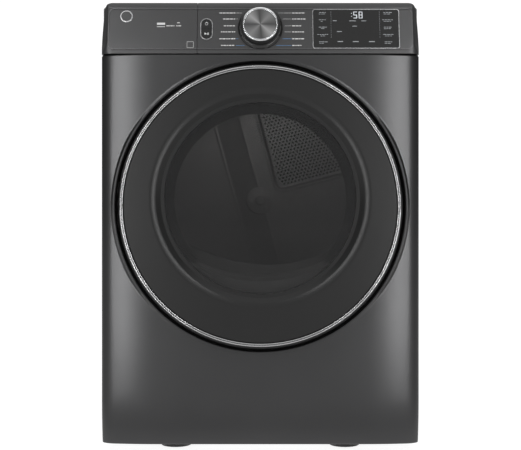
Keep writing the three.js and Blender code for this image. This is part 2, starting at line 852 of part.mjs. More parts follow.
const rollerPlace = (side) => {
  const reach = DRUM_R + ROLLER_R + ROLLER_GAP;
  return { x: side * reach * Math.sin(ROLLER_ANGLE), z: DRUM_Z - reach * Math.cos(ROLLER_ANGLE), facets: 24 };
};

const rollerAxle = (side) =>
  join(
    discGeo(AXLE_R, BULKHEAD_Y + GAP, -236, rollerPlace(side)),
    discGeo(9, BULKHEAD_Y + GAP, -266, rollerPlace(side)),
  );

const drumRoller = (side) =>
  cut(solid(discGeo(ROLLER_R, -264, -241, rollerPlace(side))), discGeo(AXLE_R + 0.5, -270, -230, rollerPlace(side)));

// ---- drive and air ----
const MOTOR_AXIS = { ...MOTOR, facets: 24 };

function motorBody() {
  const can = join(
    discGeo(MOTOR_R, -178, -66, MOTOR_AXIS),
    discGeo(MOTOR_R - 16, -194, -50, MOTOR_AXIS),
    boxGeo(MOTOR.x - 45, MOTOR.x + 45, -160, -84, BASE_Z + SHEET + GAP, MOTOR.z - 40),
  );
  return cut(
    can,
    discGeo(7, -220, -30, { ...MOTOR, facets: SMALL }),
    boxGeo(MOTOR.x - 38, MOTOR.x + 38, -170, -70, BASE_Z + 9, MOTOR.z - 62),
  );
}

const motorShaft = () =>
  solid(
    turnedY(
      [
        [0, -274],
        [6, -274],
        [6, -34],
        [PULLEY_R + 2, -34],
        [PULLEY_R + 2, -32],
        [PULLEY_R, -31],
        [PULLEY_R, -9],
        [PULLEY_R + 2, -8],
        [PULLEY_R + 2, -6],
        [0, -6],
      ],
      { ...MOTOR, facets: SMALL },
    ),
  );

function blowerWheel() {
  const blades = Array.from({ length: 12 }, (_, i) =>
    boxGeo(-1.2, 1.2, -272, -226, 42, 72)
      .rotateY((i * Math.PI) / 6)
      .translate(MOTOR.x, 0, MOTOR.z),
  );
  const wheel = join(
    discGeo(73, -228, -225, MOTOR_AXIS),
    discGeo(13, -270, -225, MOTOR_AXIS),
    ...blades,
  );
  const rim = turnedY(
    [
      [60, -274],
      [73, -274],
      [73, -271],
      [60, -271],
    ],
    MOTOR_AXIS,
  );
  return cut(wheel.add(solid(rim)), discGeo(6.4, -290, -200, { ...MOTOR, facets: SMALL }));
}

function blowerHousing() {
  const [y0, y1] = BLOWER_Y;
  const hollow = (r, inset) => [
    discGeo(r, y0 + inset, y1 - inset, MOTOR_AXIS),
    boxGeo(MOTOR.x, EXHAUST.x + 54 - inset, y0 + inset, y1 - inset, MOTOR.z - r, EXHAUST.z + 55 - inset),
  ];
  return cut(
    join(...hollow(BLOWER_R, 0)),
    ...hollow(BLOWER_R - SHEET, SHEET),
    discGeo(50, y0 - 5, y0 + 5, MOTOR_AXIS),
    discGeo(20, y1 - 5, y1 + 5, MOTOR_AXIS),
    discGeo(EXHAUST_R - SHEET, y1 - 5, y1 + 5, { ...EXHAUST, facets: 24 }),
  );
}

function exhaustDuct() {
  const [y0, y1] = [BLOWER_Y[1] + GAP, HALF_DEPTH];
  const inner = EXHAUST_R - SHEET;
  return solid(
    turnedY(
      [
        [inner, y0],
        [EXHAUST_R + 6, y0],
        [EXHAUST_R + 6, y0 + 3],
        [EXHAUST_R, y0 + 3],
        [EXHAUST_R, y1],
        [inner, y1],
      ],
      { ...EXHAUST, facets: 32 },
    ),
  );
}

// The belt's loop is the outline stretched round the drum, the motor pulley and the idler.
function beltLoop(clearance) {
  const wheels = [
    { x: 0, z: DRUM_Z, r: DRUM_R + clearance, steps: 64 },
    { ...MOTOR, r: PULLEY_R + clearance, steps: 16 },
    { ...IDLER, r: IDLER_R + clearance, steps: 16 },
  ];
  const points = wheels
    .flatMap(({ x, z, r, steps }) =>
      Array.from({ length: steps }, (_, i) => {
        const a = (2 * Math.PI * i) / steps;
        return [x + r * Math.cos(a), z + r * Math.sin(a)];
      }),
    )
    .sort((a, b) => a[0] - b[0] || a[1] - b[1]);
  const turnsLeft = (a, b, c) => (b[0] - a[0]) * (c[1] - a[1]) - (b[1] - a[1]) * (c[0] - a[0]) > 0;
  const chain = (ordered) => {
    const kept = [];
    for (const p of ordered) {
      while (kept.length > 1 && !turnsLeft(kept.at(-2), kept.at(-1), p)) kept.pop();
      kept.push(p);
    }
    return kept.slice(0, -1);
  };
  return [...chain(points), ...chain([...points].reverse())];
}

const drumBelt = () =>
  cut(solid(plateY(outline(beltLoop(1.2 + BELT_THICK)), ...BELT_Y)), plateY(outline(beltLoop(1.2)), -40, 0));

function idlerArm() {
  const along = new THREE.Vector2(IDLER.x - IDLER_PIVOT.x, IDLER.z - IDLER_PIVOT.z);
  const bar = boxGeo(-9, 9, -44, -40, -12, along.length() + 12)
    .rotateY(Math.atan2(along.x, along.y))
    .translate(IDLER_PIVOT.x, 0, IDLER_PIVOT.z);
  return cut(
    join(bar, discGeo(4, -41, -5, { ...IDLER, facets: SMALL })),
    discGeo(4.5, -60, -30, { ...IDLER_PIVOT, facets: SMALL }),
  );
}

const idlerPulley = () =>
  cut(
    solid(
      turnedY(
        [
          [0, -34],
          [IDLER_R + 3, -34],
          [IDLER_R + 3, -32.5],
          [IDLER_R, -31],
          [IDLER_R, -9],
          [IDLER_R + 3, -7.5],
          [IDLER_R + 3, -6],
          [0, -6],
        ],
        { ...IDLER, facets: SMALL },
      ),
    ),
    discGeo(4.5, -60, 0, { ...IDLER, facets: SMALL }),
  );

function idlerSpring() {
  const [start, end] = [new THREE.Vector3(61, -52, 112), new THREE.Vector3(150, -52, 54)];
  const axis = end.clone().sub(start);
  const side = new THREE.Vector3(0, 1, 0);
  const up = axis.clone().normalize().cross(side);
  const turns = 7;
  class Coil extends THREE.Curve {
    getPoint(t) {
      const a = 2 * Math.PI * turns * t;
      return start
        .clone()
        .addScaledVector(axis, t)
        .addScaledVector(side, 6 * Math.cos(a))
        .addScaledVector(up, 6 * Math.sin(a));
    }
  }
  const wire = new THREE.Shape().absarc(0, 0, 1.2, 0, 2 * Math.PI);
  return solid(
    new THREE.ExtrudeGeometry(wire, { steps: turns * 8, extrudePath: new Coil(), curveSegments: 3 }),
  );
}

// ---- mains connection ----
const terminalBlock = () =>
  join(
    boxGeo(-312, -248, 366, REAR - SHEET - GAP, 145, 185),
    ...[-300, -280, -260].map((x) => discGeo(5, 358, 367, { x, z: 165, facets: 12 })),
  );

const terminalCover = () =>
  cut(
    solid(boxGeo(-330, -230, REAR + GAP, REAR + 9, 108, 212)),
    boxGeo(-328, -232, REAR, REAR + 7, 107, 210),
  );

// ---- feet ----
function foot([x, y]) {
  const profile = [
    [0, 0],
    [FOOT_R - 2, 0],
    [FOOT_R, 2],
    [FOOT_R, 5],
    [12, 12],
    [5, 12],
    [5, 42],
    [0, 42],
  ];
  return solid(turnedY(profile, { facets: 24 }).rotateX(Math.PI / 2).translate(x, y, 0));
}

// ---- assembly ----
put("base_pan", basePan(), zincSteel);
put("side_panel_left", sidePanel(-1), bodyPaint);
put("side_panel_right", sidePanel(1), bodyPaint);
put("rear_panel", rearPanel(), zincSteel);
put("top_cover", topCover(), bodyPaint);
put("front_panel", frontPanel(), bodyPaint);
put("console_left_cover", consoleShell(-HALF_WIDTH, CONSOLE_SEAM_X - 0.5), consolePaint);
put("console_fascia", consoleFascia(), consolePaint);
putOnConsole("display_window", displayWindow(), glossBlack);
putOnConsole("control_board", controlBoard(), boardGreen);
putOnConsole("knob_skirt", knobSkirt(), glossBlack);
putOnConsole("selector_knob", selectorKnob(), knobMetal);
putOnConsole("button_trim", buttonTrim(), chrome);
putOnConsole("power_button", button(BUTTON_V + 0.4, BUTTON_V + 32), glossBlack);
putOnConsole("start_button", button(BUTTON_V - 32, BUTTON_V - 0.4), glossBlack);

put("door_ring", doorRing(), glossBlack);
put("door_trim_ring", doorTrimRing(), chrome);
put("door_outer_glass", doorOuterGlass(), tintedGlass);
put("door_inner_panel", doorInnerPanel(), greyPlastic);
put("door_inner_window", doorInnerWindow(), tintedGlass);
put("door_gasket", doorGasket(), rubber);
put("door_strike", doorStrike(), zincSteel);
put("door_catch", doorCatch(), blackPlastic);
put("door_hinge_arm", doorHingeArm(), zincSteel);
put("hinge_bracket", hingeBracket(), zincSteel);

put("front_bulkhead", frontBulkhead(), greyPlastic);
put("lint_duct", lintDuct(), greyPlastic);
put("lint_filter", lintFilter(), meshWhite);
put("moisture_sensor", moistureSensor(), zincSteel);
put("drum_lamp_lens", drumLampLens(), tintedGlass);
put("front_drum_seal", ringSeal(318.9, 323.9, BULKHEAD_Y + 1, BULKHEAD_Y + 21), felt);

put("drum_shell", drumShell(), drumSteel);
put("drum_back", drumBack(), drumSteel);
BAFFLE_ANGLES.forEach((degrees, i) => put(`drum_baffle_${i + 1}`, drumBaffle(degrees), greyPlastic));
put("drum_shaft", drumShaft(), zincSteel);
put("rear_bulkhead", rearBulkhead(), zincSteel);
put("rear_drum_seal", ringSeal(298, 316, DRUM_REAR + 3.2, REAR_WALL_Y - GAP), felt);
put("heater_housing", heaterHousing(), zincSteel);
put("heater_element", heaterElement(), heatWire);
put("roller_axle_left", rollerAxle(-1), zincSteel);
put("roller_axle_right", rollerAxle(1), zincSteel);
put("drum_roller_left", drumRoller(-1), rubber);
put("drum_roller_right", drumRoller(1), rubber);

put("motor_body", motorBody(), motorPaint);
put("motor_shaft", motorShaft(), zincSteel);
put("blower_wheel", blowerWheel(), blackPlastic);
put("blower_housing", blowerHousing(), greyPlastic);
put("exhaust_duct", exhaustDuct(), zincSteel);
put("drum_belt", drumBelt(), rubber);
put("idler_arm", idlerArm(), zincSteel);
put("idler_pulley", idlerPulley(), blackPlastic);
put("idler_spring", idlerSpring(), zincSteel);

put("terminal_block", terminalBlock(), blackPlastic);
put("terminal_cover", terminalCover(), zincSteel);
for (const [place, at] of Object.entries(FEET)) put(`foot_${place}`, foot(at), rubber);

export default dryer;
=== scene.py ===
"""Looks for a front-loading clothes dryer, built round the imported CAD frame.

Lengths are in millimetres up to piece(), which turns them into metres. Lights and the camera are in metres.
"""

import math
import random

import bmesh
import bpy
import numpy as np
from mathutils import Matrix, Vector


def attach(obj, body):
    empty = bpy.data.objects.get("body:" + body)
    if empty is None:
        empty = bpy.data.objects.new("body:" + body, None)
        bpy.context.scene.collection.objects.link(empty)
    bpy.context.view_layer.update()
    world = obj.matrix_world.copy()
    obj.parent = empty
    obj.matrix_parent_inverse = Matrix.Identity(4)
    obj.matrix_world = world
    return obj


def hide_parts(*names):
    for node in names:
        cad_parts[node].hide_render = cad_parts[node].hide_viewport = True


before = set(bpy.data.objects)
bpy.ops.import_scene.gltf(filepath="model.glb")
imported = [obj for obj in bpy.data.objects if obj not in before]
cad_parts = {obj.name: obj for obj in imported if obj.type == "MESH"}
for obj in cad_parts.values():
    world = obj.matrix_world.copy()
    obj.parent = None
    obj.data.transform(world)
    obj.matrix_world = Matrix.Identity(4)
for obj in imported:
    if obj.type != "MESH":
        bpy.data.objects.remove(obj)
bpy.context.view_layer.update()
MM = 0.001
rng = random.Random(7)

# ---- dimensions shared with the CAD ----
HALF = 355.5
HEIGHT = 1010.0
FRONT = -364.5
PANEL_TOP = 889.6
PANEL_BASE = 19.0
PANEL_BACK = -327.0
FLAT = 235.0
FALL = 7.0
CORNER_X = 331.0
CORNER_DEPTH = 22.0
TUCK_Z = 125.0
TUCK_DEPTH = 12.0
DOOR_Z = 551.0
WINDOW_Z = 568.5
RECESS_R = 322.5
RECESS_FLOOR = -340.0
LIP_R = 333.5
LOAD_R = 221.0
MOUTH_R = 196.0
BULKHEAD_Y = -285.0
FLANGE_R = 318.5
DRUM_Z = 580.0
CONSOLE_Z = 891.4
CONSOLE_BACK = -316.0
FACE_Z = 899.4
FACE_TOP = 1000.0
LEAN = math.radians(13)
SEAM_X = -140.7
KNOB_V = 51.5
BUTTON = (-120.0, 49.0)


# ---- materials ----
def principled(name, color, roughness, metallic=0.0, **sockets):
    mat = bpy.data.materials.new(name)
    mat.use_nodes = True
    shader = mat.node_tree.nodes["Principled BSDF"]
    shader.inputs["Base Color"].default_value = (*color, 1)
    shader.inputs["Roughness"].default_value = roughness
    shader.inputs["Metallic"].default_value = metallic
    for key, value in sockets.items():
        shader.inputs[key.replace("_", " ")].default_value = value
    return mat


def noise_into(mat, scale, detail=4.0, stretch=(1, 1, 1)):
    nodes, links = mat.node_tree.nodes, mat.node_tree.links
    coords = nodes.new("ShaderNodeTexCoord")
    mapping = nodes.new("ShaderNodeMapping")
    mapping.inputs["Scale"].default_value = stretch
    noise = nodes.new("ShaderNodeTexNoise")
    noise.inputs["Scale"].default_value = scale
    noise.inputs["Detail"].default_value = detail
    links.new(coords.outputs["Object"], mapping.inputs["Vector"])
    links.new(mapping.outputs["Vector"], noise.inputs["Vector"])
    return noise.outputs["Fac"]


def vary_color(mat, fac, low, high):
    nodes, links = mat.node_tree.nodes, mat.node_tree.links
    ramp = nodes.new("ShaderNodeValToRGB")
    ramp.color_ramp.elements[0].position = 0.3
    ramp.color_ramp.elements[1].position = 0.7
    ramp.color_ramp.elements[0].color = (*low, 1)
    ramp.color_ramp.elements[1].color = (*high, 1)
    links.new(fac, ramp.inputs["Fac"])
    links.new(ramp.outputs["Color"], nodes["Principled BSDF"].inputs["Base Color"])


def vary_roughness(mat, fac, low, high):
    nodes, links = mat.node_tree.nodes, mat.node_tree.links
    ramp = nodes.new("ShaderNodeMapRange")
    ramp.inputs["To Min"].default_value = low
    ramp.inputs["To Max"].default_value = high
    links.new(fac, ramp.inputs["Value"])
    links.new(ramp.outputs["Result"], nodes["Principled BSDF"].inputs["Roughness"])


def add_bump(mat, fac, strength, distance=0.0002):
    nodes, links = mat.node_tree.nodes, mat.node_tree.links
    bump = nodes.new("ShaderNodeBump")
    bump.inputs["Strength"].default_value = strength
    bump.inputs["Distance"].default_value = distance
    links.new(fac, bump.inputs["Height"])
    links.new(bump.outputs["Normal"], nodes["Principled BSDF"].inputs["Normal"])


def finish(
    name, color, roughness, metallic=0.0, grain=900, bump=0.05, spread=0.06, stretch=(1, 1, 1), **sockets,
):
    """A material whose colour, roughness and surface all vary a little, as a real finish does."""
    mat = principled(name, color, roughness, metallic, **sockets)
    fine = noise_into(mat, grain, 6, stretch)
    broad = noise_into(mat, 9, 3)
    low = [c * (1 - spread) for c in color]
    high = [min(1, c * (1 + spread)) for c in color]
    vary_color(mat, broad, low, high)
    vary_roughness(mat, fine, max(0.01, roughness - 0.05), roughness + 0.05)
    add_bump(mat, fine, bump)
    return mat


BODY = finish("body_enamel", (0.055, 0.055, 0.056), 0.3, 0.8, grain=1800, bump=0.06, spread=0.03)
CONSOLE = finish("console_moulding", (0.06, 0.06, 0.061), 0.38, 0.7, grain=1500, bump=0.06, spread=0.03)
# Painted highlight: the console's border bead gets a lighter grey than the console moulding it belongs to,
# painting the light line its edge catches.
CONSOLE_EDGE_HIGHLIGHT = finish("console_edge_painted_highlight", (0.11, 0.11, 0.112), 0.3, 0.8, grain=1500, bump=0.03, spread=0.03)
ZINC = finish("zinc_steel", (0.5, 0.51, 0.52), 0.38, 0.95, grain=160, bump=0.05, spread=0.05)
HINGE = finish("hinge_steel", (0.12, 0.12, 0.122), 0.42, 0.9, grain=160, bump=0.05, spread=0.05)
DRUM = finish(
    "drum_steel", (0.42, 0.42, 0.43), 0.45, 0.85, grain=500, bump=0.08, spread=0.06, stretch=(1, 0.06, 1),
)
BLACK = finish("black_moulding", (0.018, 0.018, 0.018), 0.45, grain=1200, bump=0.1)
GREY = finish("grey_moulding", (0.16, 0.16, 0.165), 0.5, grain=1200, bump=0.1)
LINT_GREY = finish("lint_cover_moulding", (0.18, 0.18, 0.18), 0.5, grain=1200, bump=0.1)
PALE = finish("pale_moulding", (0.34, 0.34, 0.34), 0.5, grain=1200, bump=0.1)
GLOSS = finish("gloss_black", (0.012, 0.012, 0.012), 0.12, grain=300, bump=0.008)
DOOR_BAND = finish(
    "door_band_gloss", (
        0.013, 0.013, 0.013,
    ), 0.3, 0.0, grain=300, bump=0.0015, spread=0.03, Specular_IOR_Level=0.26
)
CHROME = finish("bright_trim", (0.72, 0.73, 0.74), 0.1, 1.0, grain=200, bump=0.01, spread=0.02)
RING = finish("door_ring_metal", (0.6, 0.6, 0.605), 0.1, 1.0, grain=200, bump=0.01, spread=0.02)
SATIN = finish("satin_trim", (0.55, 0.55, 0.56), 0.28, 1.0, grain=700, bump=0.03, spread=0.02)
RUBBER = finish("rubber", (0.022, 0.022, 0.022), 0.75, grain=700, bump=0.2)
FELT = finish("felt", (0.33, 0.3, 0.26), 0.95, grain=2500, bump=0.8, spread=0.2)
BOARD = finish("circuit_board", (0.02, 0.11, 0.045), 0.4, grain=120, bump=0.1, spread=0.3)
MOTOR = finish("motor_enamel", (0.05, 0.05, 0.055), 0.4, 0.3, grain=600, bump=0.08)
HEAT = finish("heater_wire", (0.3, 0.25, 0.22), 0.5, 0.8, grain=200, bump=0.1, spread=0.3)
PRINT = finish("printed_marks", (0.5, 0.5, 0.5), 0.5, grain=900, bump=0.02)
LIT = finish("lit_marks", (0.22, 0.23, 0.24), 0.5, grain=900, bump=0.02, Emission_Strength=0.05)
LIT.node_tree.nodes["Principled BSDF"].inputs["Emission Color"].default_value = (0.8, 0.85, 0.9, 1)
FIGURES = finish("lit_figures", (0.5, 0.52, 0.55), 0.5, grain=900, bump=0.02, Emission_Strength=0.2)
FIGURES.node_tree.nodes["Principled BSDF"].inputs["Emission Color"].default_value = (0.8, 0.85, 0.9, 1)
BLUE = finish("blue_marks", (0.1, 0.25, 0.5), 0.5, grain=900, bump=0.02)
LAMP = finish("lamp_lens", (0.8, 0.8, 0.78), 0.3, grain=300, bump=0.05, Emission_Strength=1.0)
LAMP.node_tree.nodes["Principled BSDF"].inputs["Emission Color"].default_value = (1, 0.97, 0.92, 1)


def studio_floor():
    """A white floor that glows round the machine and falls off in front of it, to show less in the door."""
    mat = finish("studio_floor", (0.3, 0.3, 0.3), 0.9, grain=30, bump=0.0, spread=0.01)
    nodes, links = mat.node_tree.nodes, mat.node_tree.links
    shader = nodes["Principled BSDF"]
    shader.inputs["Emission Color"].default_value = (1, 1, 1, 1)
    coords = nodes.new("ShaderNodeTexCoord")
    split = nodes.new("ShaderNodeSeparateXYZ")
    links.new(coords.outputs["Object"], split.inputs["Vector"])
    fade = nodes.new("ShaderNodeMapRange")
    fade.inputs["From Min"].default_value = -0.48
    fade.inputs["From Max"].default_value = -0.36
    fade.inputs["To Min"].default_value = 0.4
    fade.inputs["To Max"].default_value = 0.85
    links.new(split.outputs["Y"], fade.inputs["Value"])
    links.new(fade.outputs["Result"], shader.inputs["Emission Strength"])
    return mat


FLOOR = studio_floor()


def glass(name, color, alpha, roughness):
    mat = finish(name, color, roughness, grain=60, bump=0.004, spread=0.02, Alpha=alpha)
    mat.node_tree.nodes["Principled BSDF"].inputs["IOR"].default_value = 1.5
    mat.node_tree.nodes["Principled BSDF"].inputs["Specular IOR Level"].default_value = 0.35
    return mat


SMOKED = glass("smoked_glass", (0.012, 0.012, 0.012), 0.42, 0.04)
CLEAR = glass("clear_glass", (0.03, 0.03, 0.03), 0.15, 0.05)


def brushed_disc_painted_sheen(centre):
    """Turned metal brushed round its centre, in mm, with a painted highlight: four soft wedges of light are
    painted into its base colour.
    """
    mat = principled("turned_metal_painted_sheen", (0.13, 0.13, 0.135), 0.34, 0.6)
    nodes, links = mat.node_tree.nodes, mat.node_tree.links
    coords = nodes.new("ShaderNodeTexCoord")
    mapping = nodes.new("ShaderNodeMapping")
    mapping.vector_type = "TEXTURE"
    mapping.inputs["Location"].default_value = tuple(c * MM for c in centre)
    mapping.inputs["Rotation"].default_value = (math.pi / 2, 0, math.radians(20))
    gradient = nodes.new("ShaderNodeTexGradient")
    gradient.gradient_type = "RADIAL"
    links.new(coords.outputs["Object"], mapping.inputs["Vector"])
    links.new(mapping.outputs["Vector"], gradient.inputs["Vector"])
    # Painted highlight: the base colour steps from dark to light grey and back in eight sectors round the
    # centre, painting four bright wedges of reflection.
    ramp = nodes.new("ShaderNodeValToRGB")
    stops = ramp.color_ramp.elements
    stops[0].position, stops[1].position = 0.0, 1.0
    stops[0].color = stops[1].color = (0.06, 0.06, 0.062, 1)
    for k in range(1, 8):
        grey = 0.06 if k % 2 == 0 else (0.3 if k in (3, 7) else 0.19)
        stops.new(k / 8).color = (grey, grey, grey, 1)
    links.new(gradient.outputs["Fac"], ramp.inputs["Fac"])
    links.new(ramp.outputs["Color"], nodes["Principled BSDF"].inputs["Base Color"])
    rings = nodes.new("ShaderNodeTexWave")
    rings.wave_type = "RINGS"
    rings.rings_direction = "Z"
    rings.inputs["Scale"].default_value = 240
    rings.inputs["Distortion"].default_value = 1.5
    rings.inputs["Detail"].default_value = 4
    links.new(mapping.outputs["Vector"], rings.inputs["Vector"])
    add_bump(mat, rings.outputs["Fac"], 0.15, 0.0001)
    return mat


# ---- mesh helpers ----
def piece(name, verts, faces, mat, body, slot, stands_for=(), angle=35):
    """A mesh piece from millimetre vertices, merged, facing out and smooth below the given angle."""
    mesh = bpy.data.meshes.new(name)
    mesh.from_pydata([tuple(c * MM for c in v) for v in verts], [], faces)
    bm = bmesh.new()
    bm.from_mesh(mesh)
    bmesh.ops.remove_doubles(bm, verts=bm.verts, dist=1e-6)
    bmesh.ops.dissolve_degenerate(bm, edges=bm.edges, dist=1e-7)
    bmesh.ops.recalc_face_normals(bm, faces=bm.faces)
    bm.to_mesh(mesh)
    bm.free()
    mesh.shade_smooth()
    mesh.set_sharp_from_angle(angle=math.radians(angle))
    obj = bpy.data.objects.new(name, mesh)
    bpy.context.scene.collection.objects.link(obj)
    mesh.materials.append(mat)
    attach(obj, body)
    if stands_for:
        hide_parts(*stands_for)
    return obj


def fillet(points, radius, steps=4, closed=True):
    """Rounds every corner of a polyline. Its points are tuples of any one length."""
    pts = [np.array(p, float) for p in points]
    out = []
    n = len(pts)
    for i, p in enumerate(pts):
        if not closed and i in (0, n - 1):
            out.append(p)
            continue
        a, b = pts[i - 1] - p, pts[(i + 1) % n] - p
        la, lb = np.linalg.norm(a), np.linalg.norm(b)
        t = min(radius, 0.45 * la, 0.45 * lb)
        if abs(p[0]) < 1e-6 or t < 0.02:
            out.append(p)
            continue
        p0, p1 = p + a / la * t, p + b / lb * t
        for k in range(steps + 1):
            s = k / steps
            out.append((1 - s) ** 2 * p0 + 2 * s * (1 - s) * p + s * s * p1)
    return out


def turned(
    name, rings, mat, body, slot, stands_for=(), cx=0.0, cz=0.0, segments=160, round_by=0.0, closed=True,
    angle=35,
):
    """A ring-by-ring surface about Y. A ring is (radius, y) or (radius, y, extra height of its centre)."""
    rings = [(*r, 0.0) if len(r) == 2 else r for r in rings]
    if round_by:
        rings = fillet(rings, round_by, closed=closed)
    verts, faces = [], []
    for r, y, dz in rings:
        for k in range(segments):
            a = 2 * math.pi * k / segments
            verts.append((cx + r * math.cos(a), y, cz + dz + r * math.sin(a)))
    count = len(rings)
    for i in range(count if closed else count - 1):
        j = (i + 1) % count
        for k in range(segments):
            m = (k + 1) % segments
            faces.append((i * segments + k, i * segments + m, j * segments + m, j * segments + k))
    return piece(name, verts, faces, mat, body, slot, stands_for, angle)


def extruded(outline, low, high, axes="xzy"):
    """Vertices and faces of a prism. axes names where the outline's two coordinates and the height go."""
    n = len(outline)
    place = ["xyz".index(a) for a in axes]
    verts = []
    for h in (low, high):
        for a, b in outline:
            v = [0.0] * 3
            v[place[0]], v[place[1]], v[place[2]] = a, b, h
            verts.append(tuple(v))
    faces = [(i, (i + 1) % n, n + (i + 1) % n, n + i) for i in range(n)]
    faces += [tuple(range(n)), tuple(range(2 * n - 1, n - 1, -1))]
    return verts, faces


def merged(parts):
    verts, faces = [], []
    for v, f in parts:
        faces += [tuple(i + len(verts) for i in face) for face in f]
        verts += v
    return verts, faces


def rounded_outline(x0, x1, z0, z1, r, steps=8):
    out = []
    for cx, cz, start in (
        (x1 - r, z0 + r, -90), (x1 - r, z1 - r, 0), (x0 + r, z1 - r, 90), (x0 + r, z0 + r, 180),
    ):
        for k in range(steps + 1):
            a = math.radians(start + 90 * k / steps)
            out.append((cx + r * math.cos(a), cz + r * math.sin(a)))
    return out


def add_bevel(obj, width, segments=3, angle=30):
    mod = obj.modifiers.new("edge", "BEVEL")
    mod.width = width * MM
    mod.segments = segments
    mod.limit_method = "ANGLE"
    mod.angle_limit = math.radians(angle)
    mod.harden_normals = True
    return mod


def apply_modifiers(obj):
    """Turns the object's modifiers into its mesh."""
    graph = bpy.context.evaluated_depsgraph_get()
    made = bpy.data.meshes.new_from_object(obj.evaluated_get(graph))
    obj.modifiers.clear()
    old = obj.data
    obj.data = made
    bpy.data.meshes.remove(old)


def boolean(obj, cutters, operation="DIFFERENCE"):
    for n, (verts, faces) in enumerate(cutters):
        mesh = bpy.data.meshes.new("cutter")
        mesh.from_pydata([tuple(c * MM for c in v) for v in verts], [], faces)
        bm = bmesh.new()
        bm.from_mesh(mesh)
        bmesh.ops.recalc_face_normals(bm, faces=bm.faces)
        bm.to_mesh(mesh)
        bm.free()
        cutter = bpy.data.objects.new("cutter", mesh)
        bpy.context.scene.collection.objects.link(cutter)
        mod = obj.modifiers.new(f"cut_{n}", "BOOLEAN")
        mod.operation = operation
        mod.solver = "EXACT"
        mod.object = cutter
        bpy.context.view_layer.update()
        apply_modifiers(obj)
        bpy.data.objects.remove(cutter)
    obj.data.shade_smooth()
    obj.data.set_sharp_from_angle(angle=math.radians(35))


def solidify(obj, thickness, offset=-1):
    mod = obj.modifiers.new("sheet", "SOLIDIFY")
    mod.thickness = thickness * MM
    mod.offset = offset
    mod.use_even_offset = True
    apply_modifiers(obj)


# ---- front panel ----
def plan_depth(x):
    ax = abs(x)
    y = FRONT
    end_fall = FALL * ((HALF - FLAT) / (CORNER_X - FLAT)) ** 2
    if ax > FLAT:
        y += FALL * ((ax - FLAT) / (CORNER_X - FLAT)) ** 2
    if ax > CORNER_X:
        s = min(1.0, (ax - CORNER_X) / (HALF - CORNER_X))
        y += (CORNER_DEPTH - end_fall) * (1 - math.sqrt(1 - s * s))
    return y


def tuck(z):
    return TUCK_DEPTH * ((TUCK_Z - z) / (TUCK_Z - PANEL_BASE)) ** 2 if z < TUCK_Z else 0.0


def soft_min(a, b, k):
    h = max(k - abs(a - b), 0) / k
    return min(a, b) - h * h * k / 4


def lip_depth(r):
    crest = FRONT - 1
    if r < 325:
        return crest + 2.5 - math.sqrt(max(0, 2.5**2 - (325 - r) ** 2))
    return crest + max(0, r - 328)


def front_depth(x, z):
    r = math.hypot(x, z - DOOR_Z)
    surface = plan_depth(x) + tuck(z)
    if r > 333:
        return surface
    lip = lip_depth(r)
    w = min(1, max(0, (r - 326) / 3))
    return lip * (1 - w) + soft_min(surface, lip, 3) * w


